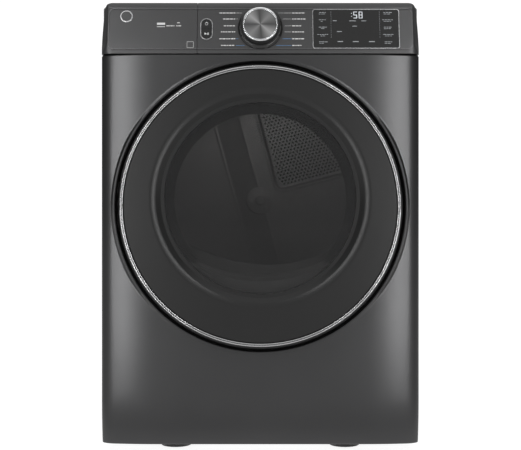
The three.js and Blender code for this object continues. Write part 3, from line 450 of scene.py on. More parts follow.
def front_panel():
    xb, z_low, z_high = 344.0, 22.8, 886.0
    roll = PANEL_TOP - z_high
    xs = list(np.linspace(-xb, xb, 121))
    zs = list(np.linspace(z_low, z_high, 155))
    # Plan points round the corner, past the grid that the door's recess is cut from.
    corner = []
    s0 = math.asin((xb - CORNER_X) / (HALF - CORNER_X))
    for a in np.linspace(s0, math.pi / 2, 13)[1:]:
        x = CORNER_X + (HALF - CORNER_X) * math.sin(a)
        corner.append((x, plan_depth(x)))
    corner += [(HALF, PANEL_BACK)]
    plan = [(-x, y) for x, y in reversed(corner)] + [(x, plan_depth(x)) for x in xs] + corner
    rolled = [(roll * math.sin(b), roll * (1 - math.cos(b))) for b in np.linspace(0, math.pi / 2, 6)[1:]]
    rows = [(z_low - dz, inset) for dz, inset in reversed(rolled)]
    rows = [(rows[0][0], 16.0)] + rows + [(z, 0.0) for z in zs] + [
        (z_high + dz, inset)
        for dz, inset in rolled
    ]
    rows += [(rows[-1][0], 16.0)]
    first_x, first_z = len(corner), len(rolled) + 1
    verts, faces = [], []

    def at(i, j):
        return j * len(plan) + i

    for z, inset in rows:
        for x, y in plan:
            share = min(1, (PANEL_BACK - y) / 20)
            verts.append((x * (1 - inset / HALF), y + inset * share + tuck(z), z))
    for j in range(len(rows) - 1):
        for i in range(len(plan) - 1):
            middle = first_x <= i < first_x + len(xs) - 1 and first_z <= j < first_z + len(zs) - 1
            if not middle:
                faces.append((at(i, j), at(i + 1, j), at(i + 1, j + 1), at(i, j + 1)))
    border = [(x, z_low) for x in xs[:-1]] + [(xb, z) for z in zs[:-1]]
    border += [(x, z_high) for x in reversed(xs[1:])] + [(-xb, z) for z in reversed(zs[1:])]
    radii = [RECESS_R, 322.9, 323.6, 324.4, 325.2, 326.5, 328, 329.5, 331, 332.3, LIP_R]
    shares = [s * s * (3 - 2 * s) for s in np.linspace(0, 1, 15)[1:]]
    base = len(verts)
    columns = []
    for bx, bz in border:
        a = math.atan2(bz - DOOR_Z, bx)
        c, s = math.cos(a), math.sin(a)
        column = []
        # The opening in the floor, the floor, and the wall up to the lip.
        floor = [
            (LOAD_R, -338.2, WINDOW_Z), (LOAD_R + 0.4, -339.3, WINDOW_Z),
            (LOAD_R + 1.6, RECESS_FLOOR, WINDOW_Z),
        ]
        for t in np.linspace(0, 1, 7)[1:]:
            r = LOAD_R + 1.6 + (318.5 - LOAD_R - 1.6) * t
            floor.append((r, RECESS_FLOOR, WINDOW_Z + (DOOR_Z - WINDOW_Z) * t))
        for b in np.linspace(0, math.pi / 2, 5)[1:]:
            floor.append((318.5 + 4 * math.sin(b), RECESS_FLOOR - 4 * (1 - math.cos(b)), DOOR_Z))
        for r, y, cz in floor:
            column.append((r * c, y, cz + r * s))
        for r in radii:
            column.append((r * c, front_depth(r * c, DOOR_Z + r * s), DOOR_Z + r * s))
        x0, z0 = LIP_R * c, DOOR_Z + LIP_R * s
        for t in shares:
            x, z = x0 + (bx - x0) * t, z0 + (bz - z0) * t
            column.append((x, front_depth(x, z), z))
        columns.append(column)
    depth = len(columns[0])
    for column in columns:
        verts += column
    for i in range(len(columns)):
        m = (i + 1) % len(columns)
        for k in range(depth - 1):
            faces.append(
                (
                    base + i * depth + k, base + i * depth + k + 1, base + m * depth + k + 1,
                    base + m * depth + k,
                )
            )
    panel = piece("front_skin", verts, faces, BODY, "cabinet", "body_paint", ["front_panel"])
    up = sum(p.normal.y for p in panel.data.polygons) > 0
    if up:
        panel.data.flip_normals()
    solidify(panel, 1.6)
    pocket_out = extruded(rounded_outline(-322.5, -284.5, DOOR_Z - 56, DOOR_Z + 56, 4), -339.4, -316.5)
    pocket_in = extruded(rounded_outline(-321, -286, DOOR_Z - 55, DOOR_Z + 55, 3), -345, -318)
    slot_in = extruded(rounded_outline(-270, -254, WINDOW_Z - 13, WINDOW_Z + 13, 3), -345, -330)
    boolean(panel, [pocket_out], "UNION")
    boolean(panel, [pocket_in, slot_in])
    return panel


front_panel()


# ---- console ----
def console_depth(x, z):
    plane = FRONT + max(0, z - FACE_Z) * math.tan(LEAN)
    ax = abs(x)
    corner = FRONT
    if ax > CORNER_X:
        s = min(1.0, (ax - CORNER_X) / (HALF - CORNER_X))
        corner = FRONT + CORNER_DEPTH * (1 - math.sqrt(max(0, 1 - s * s)))
    foot = min(1, max(0, (z - CONSOLE_Z) / 22))
    side = plane + max(0, ax - (345 - 4 * foot)) * 1.5 - 1.2
    head = FRONT + (FACE_TOP - FACE_Z) * math.tan(LEAN) + max(0, z - FACE_TOP) * 0.75
    y = -soft_min(-plane, -corner, 6)
    y = -soft_min(-y, -side, 2.5)
    return -soft_min(-y, -head, 2.5) if z > FACE_TOP - 4 else y


def console_half(z):
    r = 19.0
    half = HALF - 4.0 * min(1, max(0, (z - 922) / 70)) ** 1.3
    if z > HEIGHT - r:
        half -= r - math.sqrt(max(0, r * r - (z - HEIGHT + r) ** 2))
    return half


def console_block(name, left, right, node, mat):
    """left and right are -1 or 1 for the cabinet's own end, or an x for the seam."""
    zs = list(np.linspace(CONSOLE_Z, FACE_Z + 3, 9)) + list(np.linspace(FACE_Z + 5, FACE_TOP - 3, 30))
    zs += [HEIGHT - 12 + 12 * math.sin(b) for b in np.linspace(0, math.pi / 2, 18)]
    edge = [1 - (1 - math.cos(b)) * 0.12 for b in np.linspace(math.pi / 2, 0, 36)]
    verts, faces = [], []
    columns = 0
    for z in zs:
        half = console_half(z)
        lo = -half if left == -1 else left
        hi = half if right == 1 else right
        xs = []
        if left == -1:
            xs += [-half * e for e in reversed(edge)]
        xs += list(
            np.linspace(xs[-1] if xs else lo, half * edge[0] if right == 1 else hi, 24)
        )[1 if xs else 0 :]
        if right == 1:
            xs += [half * e for e in edge[1:]]
        columns = len(xs)
        back = CONSOLE_BACK
        verts.append((xs[0], back, z))
        verts += [(x, console_depth(x, z), z) for x in xs]
        verts.append((xs[-1], back, z))
    width = columns + 2
    for j in range(len(zs) - 1):
        for i in range(width - 1):
            faces.append((j * width + i, j * width + i + 1, (j + 1) * width + i + 1, (j + 1) * width + i))
        faces.append((j * width + width - 1, j * width, (j + 1) * width, (j + 1) * width + width - 1))
    faces.append(tuple(range(width)))
    faces.append(tuple(range((len(zs) - 1) * width, len(zs) * width)))
    return piece(name, verts, faces, mat, "cabinet", "console_paint", [node], angle=40)


TILT = Matrix.Translation((0, FRONT, FACE_Z)) @ Matrix.Rotation(-LEAN, 4, "X")


def tilted(shape):
    verts, faces = shape
    return [tuple(TILT @ Vector(v)) for v in verts], faces


console_block("console_cover", -1, SEAM_X - 0.5, "console_left_cover", CONSOLE)
console_right = console_block("console_panel", SEAM_X + 0.5, 1, "console_fascia", CONSOLE)
bx, bv = BUTTON
boolean(
    console_right,
    [
        tilted(extruded(rounded_outline(bx - 14, bx + 14, bv - 25.5, bv + 25.5, 13.9, 12), -10, 12)),
        tilted(extruded(rounded_outline(116.5, 311, 2.6, 97.2, 6), -10, 4)),
        tilted(extruded(rounded_outline(-9, 9, KNOB_V - 9, KNOB_V + 9, 8.9), -10, 12)),
    ],
)


def on_face(name, shapes, mat, slot, body="cabinet", stands_for=(), angle=35):
    verts, faces = tilted(merged(shapes))
    return piece(name, verts, faces, mat, body, slot, stands_for, angle)


def ring_outline(x0, x1, z0, z1, r, width, low, high, steps=10):
    """A frame of even width between two rounded rectangles."""
    outer = rounded_outline(x0, x1, z0, z1, r, steps)
    inner = rounded_outline(x0 + width, x1 - width, z0 + width, z1 - width, max(0.2, r - width), steps)
    n = len(outer)
    verts = [(a, h, b) for h in (low, high) for ring in (outer, inner) for a, b in ring]
    faces = []
    for i in range(n):
        m = (i + 1) % n
        faces.append((i, m, n + m, n + i))
        faces.append((2 * n + i, 3 * n + i, 3 * n + m, 2 * n + m))
        faces.append((i, 2 * n + i, 2 * n + m, m))
        faces.append((n + i, n + m, 3 * n + m, 3 * n + i))
    return verts, faces


SCREEN = (118.3, 309.2, 4.4, 95.4)  # left, right, foot and head on the console's face
SCREEN_R = 4.5
TRIM = 1.5
x0, x1, z0, z1 = SCREEN
screen = on_face(
    "display_glass", [extruded(rounded_outline(*SCREEN, SCREEN_R), -0.7, 2.5)], GLOSS,
    "gloss_black", stands_for=["display_window"],
)
add_bevel(screen, 0.4)
frame_ring = ring_outline(x0 - TRIM, x1 + TRIM, z0 - TRIM, z1 + TRIM, SCREEN_R + TRIM, 1.3, -1.1, 2.5)
bezel = on_face("display_trim", [frame_ring], SATIN, "bright_trim")
add_bevel(bezel, 0.3)
capsule = on_face(
    "button_bezel", [ring_outline(bx - 13.7, bx + 13.7, bv - 25.2, bv + 25.2, 13.6, 1.5, -1.8, 3, 14)],
    SATIN, "bright_trim", stands_for=["button_trim"],
)
add_bevel(capsule, 0.4)


def half_capsule(upper):
    """The upper or lower button: half of a capsule, closed straight across the middle."""
    outline = rounded_outline(bx - 11.6, bx + 11.6, bv - 23.1, bv + 23.1, 11.5, 12)
    gap = 0.4
    kept = [(a, max(b, bv + gap)) if upper else (a, min(b, bv - gap)) for a, b in outline]
    out = []
    for p in kept:
        if not out or math.dist(p, out[-1]) > 1e-6:
            out.append(p)
    return out


for name, upper, body, node in (
    ("upper_key", True, "upper_button", "power_button"),
    ("lower_key", False, "lower_button", "start_button"),
):
    key = on_face(name, [extruded(half_capsule(upper), -2.6, 4)], GLOSS, "gloss_black", body, [node])
    add_bevel(key, 0.9, 4)


def circle(cx, cz, r, steps=24):
    return [
        (cx + r * math.cos(2 * math.pi * k / steps), cz + r * math.sin(2 * math.pi * k / steps))
        for k in range(steps)
    ]


def print_shape(outline, lift=0.0, thick=0.15):
    return extruded(outline, -lift - thick, -lift + 0.05)


def bar(x0, x1, v, height=1.6, lift=0.0):
    return print_shape(
        [(x0, v - height / 2), (x1, v - height / 2), (x1, v + height / 2), (x0, v + height / 2)], lift,
    )


def words(x0, x1, v, height=2.0, lift=0.0, gap=1.3):
    """A line of blank bars of uneven length, in place of lettering."""
    out = []
    x = x0
    while x < x1 - 2:
        end = min(x1, x + rng.uniform(3, 8))
        out.append(bar(x, end, v, height, lift))
        x = end + gap
    return out


def flat_ring(cx, cz, r, width, lift, steps=28):
    return ring_outline(
        cx - r, cx + r, cz - r, cz + r, r - 0.01, width, -lift - 0.15, -lift + 0.05, steps // 4,
    )


on_face(
    "upper_key_mark", [flat_ring(bx, bv + 12, 3.4, 0.7, 2.6), bar(bx - 0.4, bx + 0.4, bv + 15, 3.4, 2.6)],
    PRINT, "bright_trim", "upper_button",
)
triangle = [(bx - 4.4, bv - 15), (bx + 0.6, bv - 12), (bx - 4.4, bv - 9)]
on_face(
    "lower_key_mark",
    [
        print_shape(triangle, 2.6), bar(bx + 2.0, bx + 3.0, bv - 12, 5.6, 2.6),
        bar(bx + 4.2, bx + 5.2, bv - 12, 5.6, 2.6),
    ],
    PRINT,
    "bright_trim",
    "lower_button",
)

LABEL_ROWS = (10.2, 26.0, 42.5, 57.0, 73.5, 87.9)
labels, leaders, cool = [], [], []
for row, v in enumerate(LABEL_ROWS):
    reach = math.sqrt(max(0, 53**2 - (v - KNOB_V) ** 2))
    left_text = -92.5 + rng.uniform(0, 16)
    labels += words(left_text, -56, v)
    labels += words(71, 71 + rng.uniform(20, 31), v)
    mark = cool if row < 2 else leaders
    mark.append(bar(-54, -reach - 2, v, 0.55))
    mark.append(bar(reach + 2, 69, v, 0.55))
on_face("dial_labels", labels, PRINT, "bright_trim")
on_face("dial_leaders", leaders, PRINT, "bright_trim")
on_face("dial_cool_leaders", cool, BLUE, "bright_trim")
on_face(
    "console_marks",
    [
        bar(-231, -213, 62, 5.0), bar(-231, -213, 55, 1.4), *words(-210, -192, 57),
        *words(-188, -174, 57), *words(-186, -177, 64.5),
    ],
    PRINT,
    "bright_trim",
)
on_face(
    "console_square", [ring_outline(-163.5, -148.5, 4.5, 19.5, 1.5, 0.7, -0.15, 0.05, 4)], PRINT,
    "bright_trim",
)


def segments_digit(x, v, w, h, shown, t=1.5):
    """A seven-segment figure; shown names the lit strokes."""
    strokes = {
        "a": (x, x + w, v + h, t),
        "g": (x, x + w, v + h / 2, t),
        "d": (x, x + w, v, t),
    }
    out = [bar(x0, x1, y, s, 0.7) for key, (x0, x1, y, s) in strokes.items() if key in shown]
    for key, px, py in (
        ("f", x, v + 0.75 * h), ("b", x + w - t, v + 0.75 * h), ("e", x, v + 0.25 * h),
        ("c", x + w - t, v + 0.25 * h),
    ):
        if key in shown:
            out.append(bar(px, px + t, py, h / 2 - t, 0.7))
    return out


figures = [bar(203.5, 205.1, 86.5, 1.6, 0.7), bar(203.5, 205.1, 79.5, 1.6, 0.7)]
figures += segments_digit(208.5, 75.5, 8.2, 14.5, "afgcd")
figures += segments_digit(220.5, 75.5, 8.2, 14.5, "abcdefg")
on_face("display_figures", figures, FIGURES, "bright_trim")
lit_words = []
for row in range(5):
    v = 87 - 17.6 * row
    for x0, x1 in ((127, 151), (272, 298)):
        lit_words += words(x0 + rng.uniform(0, 5), x1 - rng.uniform(0, 5), v + 1.8, 1.3, 0.7)
        lit_words += words(x0 + rng.uniform(4, 9), x1 - rng.uniform(4, 9), v - 1.8, 1.1, 0.7)
for x0, x1, v in ((199, 214, 68.6), (226, 237, 68.6), (206, 216, 56), (162, 171, 69), (171, 182, 43)):
    lit_words.append(bar(x0, x1, v, 1.5, 0.7))
for x0, x1 in ((172, 184), (206, 219), (242, 255)):
    lit_words.append(bar(x0, x1, 19, 1.9, 0.7))
on_face("display_marks", lit_words, LIT, "bright_trim")
dashes = [bar(x, x + 0.5, v, 3.2, 0.7) for x in (158, 266.5) for v in np.arange(30, 90, 5.4)]
on_face("display_dividers", dashes, LIT, "bright_trim")
badge_x, badge_v = -299.5, 79.5
badge = on_face(
    "console_badge", [extruded(circle(badge_x, badge_v, 14, 72), -1.4, 0.1)], SATIN, "bright_trim",
)
add_bevel(badge, 0.8, 4)
on_face(
    "console_badge_inset", [extruded(circle(badge_x, badge_v, 11.8, 72), -1.7, -1.2)], CONSOLE,
    "console_paint",
)


# The border bead is real geometry; its lighter grey is a painted highlight.
border = on_face(
    "console_border", [ring_outline(-340, 341, 0.8, 99.4, 13, 2.4, -1.0, 0.6, 16)], CONSOLE_EDGE_HIGHLIGHT,
    "console_paint",
)
add_bevel(border, 0.8, 3)


# ---- dial ----
def on_dial(name, profile, mat, slot, body, stands_for=(), round_by=0.5):
    obj = turned(name, profile, mat, body, slot, stands_for, cz=KNOB_V, round_by=round_by, segments=120)
    obj.data.transform(Matrix.Scale(MM, 4) @ TILT @ Matrix.Scale(1 / MM, 4))
    return obj


on_dial(
    "dial_skirt", [(10, -0.2), (50.2, -0.2), (50.2, -2.4), (45.5, -6.8), (10, -6.8)], GLOSS,
    "gloss_black", "cabinet", ["knob_skirt"], 0.9,
)
on_dial(
    "dial_grip", [(0, -20.4), (36, -20.4), (38.5, -17), (41.5, -8.4), (4, -8.4), (4, 18.5), (0, 18.5)],
    BLACK, "knob_metal", "knob", ["selector_knob"], 0.8,
)
on_dial(
    "dial_rim", [(35, -19.8), (35, -22.8), (35.9, -24), (38, -24), (40, -22), (40, -18.6), (38.2, -17.6)],
    CHROME, "bright_trim", "knob",
)
on_dial(
    "dial_face", [(0, -22.2), (34.7, -22.2), (34.7, -20.3), (0, -20.3)],
    brushed_disc_painted_sheen(TILT @ Vector((0, -22, KNOB_V))), "knob_metal", "knob", round_by=0.3,
)


# ---- door ----
turned(
    "door_rim",
    [(310, -350.2), (310, -395.8), (291, -395.8), (291, -392), (306.5, -392), (306.5, -350.2)],
    GLOSS,
    "door",
    "gloss_black",
    ["door_ring"],
    cz=DOOR_Z,
    round_by=1.0,
    segments=256,
)
turned(
    "door_bright_ring",
    [
        (300.3, -396.2),
        (308.2, -396.2),
        (308.2, -400.4),
        (307.4, -402.8),
        (306, -403.8),
        (304.8, -402.4),
        (304.3, -398.6),
        (303.7, -398.6),
        (303.2, -402.8),
        (301.9, -404.2),
        (300.8, -403),
        (300.3, -400.4),
    ],
    RING,
    "door",
    "bright_trim",
    ["door_trim_ring"],
    cz=DOOR_Z,
    round_by=0.7,
    segments=256,
)


RIDGE_START = 243.5


def band_rings():
    """The door's black band: crowned, and lofted from the round rim to the offset window's raised lip."""
    rings = [(299.5, -396.4, 0.0), (299.5, -401.5, 0.0), (298.2, -403.2, 0.0)]
    for t in np.linspace(0, 1, 15)[1:]:
        r = 298.2 + (RIDGE_START - 298.2) * t
        rings.append((r, -403.2 - 1.2 * t, (WINDOW_Z - DOOR_Z) * t))
    shift = WINDOW_Z - DOOR_Z
    rings[-1] = (RIDGE_START, -404.4, shift)
    for start, stop, bend in ((0, 16, 14.0), (16, 30, 45.0), (30, 42, 8.0)):
        r0, y0 = rings[-1][0], rings[-1][1]
        for a in np.radians(np.linspace(start, stop, 8)[1:]):
            r = r0 - bend * (math.sin(a) - math.sin(math.radians(start)))
            rings.append((r, y0 + bend * (math.cos(math.radians(start)) - math.cos(a)), shift))
    slope = math.radians(42)
    reach = (rings[-1][1] + 390.4) / -math.tan(slope)
    rings.append((rings[-1][0] - reach, -390.4, shift))
    rings += [(211.2, -390.2, shift), (211.2, -384.6, shift), (219, -386.4, shift), (231, -396.4, shift)]
    return rings


turned(
    "door_band", band_rings(), DOOR_BAND, "door", "tinted_glass", ["door_outer_glass"], cz=DOOR_Z,
    segments=256, angle=25,
)
turned(
    "door_window",
    [
        (0, -391.6), (60, -391.4), (120, -390.7), (180, -389.4), (211, -388.2), (211, -385.2),
        (180, -386.4), (120, -387.7), (60, -388.4), (0, -388.6),
    ],
    SMOKED,
    "door",
    "tinted_glass",
    cz=WINDOW_Z,
    segments=192,
)


def door_sheet():
    inner = turned(
        "door_liner",
        [
            (306.2, -352.8, 0),
            (306.2, -350.2, 0),
            (300, -350, 0),
            (226, -350, WINDOW_Z - DOOR_Z),
            (219.5, -350.2, WINDOW_Z - DOOR_Z),
            (212.2, -352, WINDOW_Z - DOOR_Z),
            (212.2, -382, WINDOW_Z - DOOR_Z),
            (214.8, -382, WINDOW_Z - DOOR_Z),
            (214.8, -356, WINDOW_Z - DOOR_Z),
            (222, -353.2, WINDOW_Z - DOOR_Z),
            (300, -353.2, 0),
        ],
        GREY,
        "door",
        "grey_plastic",
        ["door_inner_panel"],
        cz=DOOR_Z,
        round_by=1.4,
        segments=256,
    )
    notches = []
    for side in (1, -1):
        low, high = sorted((DOOR_Z + side * 33, DOOR_Z + side * 57))
        notches.append(extruded(rounded_outline(283, 318, low, high, 3), -392.9, -345))
    boolean(inner, notches)
    boolean(bpy.data.objects["door_rim"], notches)


door_sheet()
turned(
    "door_bowl",
    [
        (219, -349.6), (219, -346.8), (197, -346.8), (186, -345), (165, -338), (140, -333.4),
        (100, -330.2), (50, -328.3), (0, -327.8),
    ]
    + [(0, -330.6), (50, -331.1), (100, -333.0), (140, -336.3), (164, -341), (184, -348), (192, -349.6)],
    CLEAR,
    "door",
    "clear_glass",
    ["door_inner_window"],
    cz=WINDOW_Z,
    segments=192,
)
turned(
    "door_seal",
    [
        (221.5, -349.6), (237, -349.6), (237, -345), (233, -341.4), (229.5, -340.7), (226, -341.4),
        (222, -345.5),
    ],
    RUBBER,
    "door",
    "rubber",
    ["door_gasket"],
    cz=WINDOW_Z,
    round_by=1.5,
    segments=192,
)


# ---- what the window shows: collar, lint housing and drum ----
def plate_with_hole(name, half, z0, z1, rings, mat, node, y0, y1, cz, body="cabinet", slot="grey_plastic"):
    """A rectangular sheet from y0 to y1 whose round opening carries on into the given rings."""
    count = 40
    border = [(x, z0) for x in np.linspace(-half, half, count)[:-1]]
    border += [(half, z) for z in np.linspace(z0, z1, count)[:-1]]
    border += [(x, z1) for x in np.linspace(half, -half, count)[:-1]]
    border += [(-half, z) for z in np.linspace(z1, z0, count)[:-1]]
    verts, faces = [], []
    rings = fillet(rings, 1.2, 3, closed=False)
    for bx_, bz_ in border:
        a = math.atan2(bz_ - cz, bx_)
        c, s = math.cos(a), math.sin(a)
        verts.append((bx_, y0, bz_))
        verts += [(r * c, y, cz + r * s) for r, y in rings]
        verts.append((bx_, y1, bz_))
    depth = len(rings) + 2
    n = len(border)
    for i in range(n):
        m = (i + 1) % n
        for k in range(depth):
            j = (k + 1) % depth
            faces.append((i * depth + k, i * depth + j, m * depth + j, m * depth + k))
    return piece(name, verts, faces, mat, body, slot, [node])


plate_with_hole(
    "front_wall",
    350,
    240,
    914,
    [
        (MOUTH_R + 30, -288), (MOUTH_R + 5, -289.5), (LOAD_R + 3.6, -335), (LOAD_R + 4, -337.7),
        (LOAD_R + 0.6, -337.7), (LOAD_R - 0.6, -335), (MOUTH_R + 6, -293), (MOUTH_R + 1, -286.5),
        (MOUTH_R + 2, BULKHEAD_Y), (300, BULKHEAD_Y), (FLANGE_R, BULKHEAD_Y),
    ],
    GREY,
    "front_bulkhead",
    BULKHEAD_Y - 3,
    BULKHEAD_Y,
    WINDOW_Z,
)
turned(
    "drum_seal_flange",
    [(FLANGE_R - 3, -284.9), (FLANGE_R, -284.9), (FLANGE_R, -262.2), (FLANGE_R - 3, -262.2)],
    GREY,
    "cabinet",
    "grey_plastic",
    cz=DRUM_Z,
    round_by=0.6,
    segments=192,
)


def lint_lip():
    """The raised cover over the lint housing, which closes the lowest part of the drum's mouth."""
    reach, count = 159.0, 60
    top = [(x, 419 + 0.0015 * (x - 15) ** 2) for x in np.linspace(reach, -reach, count)]
    low = [(x, WINDOW_Z - math.sqrt(201**2 - x * x)) for x in np.linspace(-reach, reach, count)]
    lip = piece("lint_cover", *extruded(low + top, -293.2, -289.4), LINT_GREY, "cabinet", "grey_plastic")
    add_bevel(lip, 1.5, 4)


lint_lip()

# ---- drum ----
WALL_IN = 325.8
WALL_OUT = 327.0
DRUM_FRONT = -281
DRUM_REAR = 318


def rib(r, height, at, reach, flank):
    """A pressed rib of the drum's wall round y = at. A negative reach and flank run from back to front."""
    crest = r + height
    return [(r, at - reach), (crest, at - reach + flank), (crest, at + reach - flank), (r, at + reach)]


belt_track = [point for at in (-42, 2) for point in rib(WALL_OUT, 2.5, at, 4, 2)]
inner_ribs = [point for at in (194, -222) for point in rib(WALL_IN, -2.2, at, -6, -3)]
turned(
    "drum_wall",
    [
        (WALL_IN, DRUM_FRONT), (WALL_OUT, DRUM_FRONT), *belt_track, (WALL_OUT, DRUM_REAR),
        (WALL_IN, DRUM_REAR), *inner_ribs,
    ],
    DRUM,
    "drum",
    "drum_steel",
    ["drum_shell"],
    cz=DRUM_Z,
    round_by=1.5,
    segments=256,
)
RIDGE_TURN = math.radians(15.5)
SECTOR_TURN = math.radians(14.6)
SECTOR_AT = (50.0, 28.0)
SECTOR_R = 22.0
RAISED = 14.0
SUNK = 5.0
FLANK = 70.0
BEAD = 1.6
QUARTER_RIM = 1.8


def smooth(t):
    t = min(1, max(0, t))
    return t * t * (3 - 2 * t)


def stamping(x, z):
    """How far the drum's back stands forward: a flank up to a raised field with a holed quarter sunk in."""
    across = x * math.cos(RIDGE_TURN) + (z - DRUM_Z) * math.sin(RIDGE_TURN) + 32
    lift = RAISED * min(1, max(0, (across + FLANK / 2) / FLANK))
    for bead_at in (-FLANK / 2 - 2, FLANK / 2 + 2):
        lift += BEAD * smooth((4.5 - abs(across - bead_at)) / 4)
    c, s = math.cos(SECTOR_TURN), math.sin(SECTOR_TURN)
    px, pz = x - SECTOR_AT[0], z - DRUM_Z - SECTOR_AT[1]
    u, w = SECTOR_R - (px * c + pz * s), SECTOR_R - (pz * c - px * s)
    edge = min(max(u, w), 0) + math.hypot(max(u, 0), max(w, 0)) - SECTOR_R
    lift += QUARTER_RIM * smooth((5 - abs(edge - 4)) / 4) - SUNK * smooth(-edge / 5)
    return lift * smooth((306 - math.hypot(x, z - DRUM_Z)) / 18)


def stamped_back():
    step = 3.0
    cells = int(2 * 325 / step)
    verts, faces, index = [], [], {}
    c, s = math.cos(RIDGE_TURN), math.sin(RIDGE_TURN)
    for j in range(cells + 1):
        for i in range(cells + 1):
            u, w = -325 + i * step, -325 + j * step
            r = math.hypot(u, w)
            if r > 325 + step * 0.72:
                continue
            k = min(1, 325 / r) if r > 318 else 1
            x, z = (u * c - w * s) * k, (u * s + w * c) * k
            index[i, j] = len(verts)
            verts.append((x, 318.3 - stamping(x, DRUM_Z + z), DRUM_Z + z))
    for (i, j), a in index.items():
        corners = [(i, j), (i + 1, j), (i + 1, j + 1), (i, j + 1)]
        if all(q in index for q in corners):
            faces.append(tuple(index[q] for q in corners))
    used = sorted({v for f in faces for v in f})
    lookup = {v: n for n, v in enumerate(used)}
    verts = [verts[v] for v in used]
    faces = [tuple(lookup[v] for v in f) for f in faces]
    back = piece("drum_back_wall", verts, faces, DRUM, "drum", "drum_steel", ["drum_back"], angle=60)
    if sum(p.normal.y for p in back.data.polygons) > 0:
        back.data.flip_normals()
    solidify(back, 1.4)
    back.data.shade_smooth()
    back.data.set_sharp_from_angle(angle=math.radians(50))


stamped_back()


def vents():
    """Rows of air holes in the sunk quarter of the drum's back, drawn as thin black discs: painted shade
    where each hole would show dark.
    """
    shapes = []
    c, s = math.cos(SECTOR_TURN), math.sin(SECTOR_TURN)
    seat = 318.3 - RAISED + SUNK
    for i in range(30):
        for j in range(30):
            u, w = 14 + 10.5 * i + (5.25 if j % 2 else 0), 14 + 9.1 * j
            x = SECTOR_AT[0] + u * c - w * s
            z = SECTOR_AT[1] + u * s + w * c
            if (i or j) and math.hypot(x, z) < 280:
                # Painted shade: each hole is a thin black disc standing just proud of the wall, not an
                # opening.
                shapes.append(extruded(circle(x, DRUM_Z + z, 2.9, 12), seat - 0.3, seat + 0.5))
    verts, faces = merged(shapes)
    piece("drum_back_vent_shade_discs", verts, faces, BLACK, "drum", "drum_steel")


vents()
turned(
    "drum_hub", [(0, 297), (10, 297), (13, 299), (14, 301), (38, 302), (41, 309), (0, 309)], DRUM, "drum",
    "drum_steel", cz=DRUM_Z, round_by=1.2, segments=96,
)


def bolts(name, places, mat, body, slot, out=-1):
    """Hexagonal washer-head screws whose heads stand out along Y; each place is (x, seat y, z)."""
    shapes = []
    for x, y, z in places:
        turn = rng.uniform(0, 1)
        head = [
            (x + 4 * math.cos(turn + k * math.pi / 3), z + 4 * math.sin(turn + k * math.pi / 3))
            for k in range(6)
        ]
        crown = [
            (x + 3.4 * math.cos(turn + k * math.pi / 3), z + 3.4 * math.sin(turn + k * math.pi / 3))
            for k in range(6)
        ]
        flange = circle(x, z, 6.2, 20)
        rim = circle(x, z, 5.4, 20)
        for low, high, d0, d1 in ((flange, rim, -0.1, 1.1), (head, crown, 1.0, 4.2)):
            n = len(low)
            verts = [(a, y + out * d0, b) for a, b in low] + [(a, y + out * d1, b) for a, b in high]
            faces = [(i, (i + 1) % n, n + (i + 1) % n, n + i) for i in range(n)]
            faces += [tuple(range(n)), tuple(range(2 * n - 1, n - 1, -1))]
            shapes.append((verts, faces))
    verts, faces = merged(shapes)
    obj = piece(name, verts, faces, mat, body, slot)
    add_bevel(obj, 0.25, 2, 25)


bolts(
    "hub_screws", [(26 * math.sin(a), 301.6, DRUM_Z + 26 * math.cos(a)) for a in (0.4, 2.5, 4.6)], ZINC,
    "drum", "drum_steel",
)


def baffle(n, degrees):
    """A lifting vane: smooth sides, rounded crest and sloped ends, on the drum's wall."""
    ys, ss = np.linspace(-236, 302, 45), np.linspace(-34, 34, 29)
    turn = math.radians(degrees)
    verts, faces = [], []

    for top in (True, False):
        for y in ys:
            ends = smooth((y + 236) / 44) * smooth((302 - y) / 44)
            for s in ss:
                base = math.sqrt(325.6**2 - s * s)
                r = base
                if top:
                    rib = 1.2 * math.cos(y * 2 * math.pi / 60) * smooth((10 - abs(s)) / 6)
                    r = base - (base - 264 - 0.012 * s * s + rib) * smooth((34 - abs(s)) / 21) * ends
                x, z = s * math.cos(turn) - r * math.sin(turn), s * math.sin(turn) + r * math.cos(turn)
                verts.append((x, y, DRUM_Z + z))
    rows, cols = len(ys), len(ss)
    half = rows * cols
    for j in range(rows - 1):
        for i in range(cols - 1):
            a = j * cols + i
            faces.append((a, a + 1, a + cols + 1, a + cols))
            faces.append((half + a, half + a + cols, half + a + cols + 1, half + a + 1))
    piece(f"vane_{n}", verts, faces, GREY, "drum", "grey_plastic", [f"drum_baffle_{n}"], angle=50)


for n, degrees in enumerate((10, 130, 250), 1):
    baffle(n, degrees)

# ---- the CAD nodes that are shown as they are ----
SHOWN = {
    BODY: "side_panel_left side_panel_right top_cover",
    HINGE: "hinge_bracket door_hinge_arm",
    ZINC: "base_pan rear_panel door_strike drum_shaft rear_bulkhead heater_housing "
    "roller_axle_left roller_axle_right motor_shaft exhaust_duct idler_arm idler_spring terminal_cover "
    "moisture_sensor",
    BLACK: "door_catch blower_wheel idler_pulley terminal_block",
    GREY: "blower_housing",
    PALE: "lint_duct lint_filter",
    RUBBER: "drum_belt drum_roller_left drum_roller_right foot_front_left foot_front_right foot_rear_left "
    "foot_rear_right",
    FELT: "front_drum_seal rear_drum_seal",
    BOARD: "control_board",
    MOTOR: "motor_body",
    HEAT: "heater_element",
    LAMP: "drum_lamp_lens",
}
NO_BEVEL = ("idler_spring", "heater_element")
WIDE_BEVEL = {
    "top_cover": 2.2, "side_panel_left": 1.0, "side_panel_right": 1.0, "lint_duct": 1.2,
    "lint_filter": 1.0, "foot_front_left": 0.8,
}
for mat, names in SHOWN.items():
    for name in names.split():
        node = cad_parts[name]
        for slot in node.material_slots:
            slot.material = mat
        if "custom_normal" in node.data.attributes:
            node.data.attributes.remove(node.data.attributes["custom_normal"])
        node.data.shade_smooth()
        weld = node.modifiers.new("weld", "WELD")
        weld.merge_threshold = 0.00001
        if name not in NO_BEVEL:
            add_bevel(node, WIDE_BEVEL.get(name, 0.5), 2, 28)

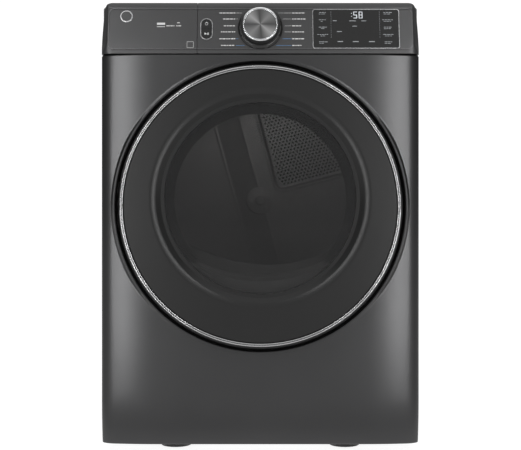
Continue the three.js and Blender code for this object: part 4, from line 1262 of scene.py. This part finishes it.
# ---- rear details ----
REAR = 391.5
SCREW_TOP = 955
SCREW_FOOT = 40
rear_screws = [(x, REAR, z) for x in (-340, 340) for z in (SCREW_FOOT, 270, 500, 730, SCREW_TOP)]
rear_screws += [(x, REAR, SCREW_TOP) for x in (-170, 0, 170)]
rear_screws += [(x, REAR, SCREW_FOOT) for x in (-110, 60)]
bolts("rear_screws", rear_screws, ZINC, "cabinet", "zinc_steel", out=1)
bolts("terminal_screw", [(-280, 400.5, 200)], ZINC, "cabinet", "zinc_steel", out=1)
turned(
    "exhaust_collar", [(53.2, 391.3), (66, 391.3), (66, 392.6), (55.5, 393.4), (53.2, 393.4)], ZINC,
    "cabinet", "zinc_steel", cx=215, cz=100, round_by=0.4, segments=96,
)

# ---- studio, in metres and watts ----
SIDE_LIGHT = 0.1
FRONT_LIGHT = 0.5
BACK_LIGHT = 1.1
FLOOR_HALF = 30
STRIP_X = 0.78
STRIP_Y = -1.6
STRIP_WIDTH = 0.22
STRIP_HEIGHT = 2.0
STRIP_POWER = 14
MACHINE_TOP = 1.0
OVERHEAD_Y = 0.4
OVERHEAD_Z = 4.2
OVERHEAD_SIZE = 7.0
OVERHEAD_POWER = 70
LAMP_POWER = 0.3
WARM = (1, 0.97, 0.93)
CAMERA_AT = (0, -2.6645, 0.5098)
LENS = 71.5


def floor_piece():
    mesh = bpy.data.meshes.new("floor")
    corners = [(x * FLOOR_HALF, y * FLOOR_HALF, 0) for x, y in ((-1, -1), (1, -1), (1, 1), (-1, 1))]
    mesh.from_pydata(corners, [], [(0, 1, 2, 3)])
    floor = bpy.data.objects.new("floor", mesh)
    bpy.context.scene.collection.objects.link(floor)
    mesh.materials.append(FLOOR)


def area(name, at, look, width, height, power, color=(1, 1, 1)):
    data = bpy.data.lights.new(name, "AREA")
    data.shape = "RECTANGLE"
    data.size, data.size_y = width, height
    data.energy = power
    data.color = color
    lamp = bpy.data.objects.new(name, data)
    bpy.context.scene.collection.objects.link(lamp)
    lamp.location = at
    lamp.visible_camera = False
    lamp.rotation_euler = (Vector(look) - Vector(at)).to_track_quat("-Z", "Y").to_euler()
    return lamp


floor_piece()
for name, side in (("left_box", -1), ("right_box", 1)):
    place = (side * STRIP_X, STRIP_Y, MACHINE_TOP)
    area(name, place, (0, -0.3, MACHINE_TOP), STRIP_WIDTH, STRIP_HEIGHT, STRIP_POWER)
above = (0, OVERHEAD_Y, OVERHEAD_Z)
area("overhead", above, (0, OVERHEAD_Y, 0), OVERHEAD_SIZE, OVERHEAD_SIZE, OVERHEAD_POWER)
area("drum_lamp_light", (0, -0.21, 0.85), (0, 0.32, 0.5), 0.4, 0.08, LAMP_POWER, WARM)


def studio_world():
    """A white wall behind the machine, a dimmer room in front of it and dark flags at both sides."""
    world = bpy.data.worlds.new("studio")
    bpy.context.scene.world = world
    world.use_nodes = True
    nodes, links = world.node_tree.nodes, world.node_tree.links
    coords = nodes.new("ShaderNodeTexCoord")
    split = nodes.new("ShaderNodeSeparateXYZ")
    links.new(coords.outputs["Generated"], split.inputs["Vector"])
    side = nodes.new("ShaderNodeMath")
    side.operation = "ABSOLUTE"
    links.new(split.outputs["X"], side.inputs[0])
    across = nodes.new("ShaderNodeMapRange")
    across.inputs["From Min"].default_value = 0.35
    across.inputs["From Max"].default_value = 0.75
    across.inputs["To Min"].default_value = 1.0
    across.inputs["To Max"].default_value = SIDE_LIGHT
    links.new(side.outputs["Value"], across.inputs["Value"])
    along = nodes.new("ShaderNodeMapRange")
    along.inputs["From Min"].default_value = -0.3
    along.inputs["From Max"].default_value = 0.6
    along.inputs["To Min"].default_value = FRONT_LIGHT
    along.inputs["To Max"].default_value = BACK_LIGHT
    links.new(split.outputs["Y"], along.inputs["Value"])
    both = nodes.new("ShaderNodeMath")
    both.operation = "MULTIPLY"
    links.new(across.outputs["Result"], both.inputs[0])
    links.new(along.outputs["Result"], both.inputs[1])
    links.new(both.outputs["Value"], nodes["Background"].inputs["Strength"])
    nodes["Background"].inputs["Color"].default_value = (1, 1, 1, 1)


studio_world()
camera_data = bpy.data.cameras.new("camera")
camera = bpy.data.objects.new("camera", camera_data)
bpy.context.scene.collection.objects.link(camera)
camera.location = CAMERA_AT
camera.rotation_euler = (math.pi / 2, 0, 0)
camera_data.sensor_width = 36
camera_data.lens = LENS
camera_data.shift_x = 0.0004
camera_data.clip_end = 200
bpy.context.scene.camera = camera
bpy.context.scene.view_settings.view_transform = "Standard"
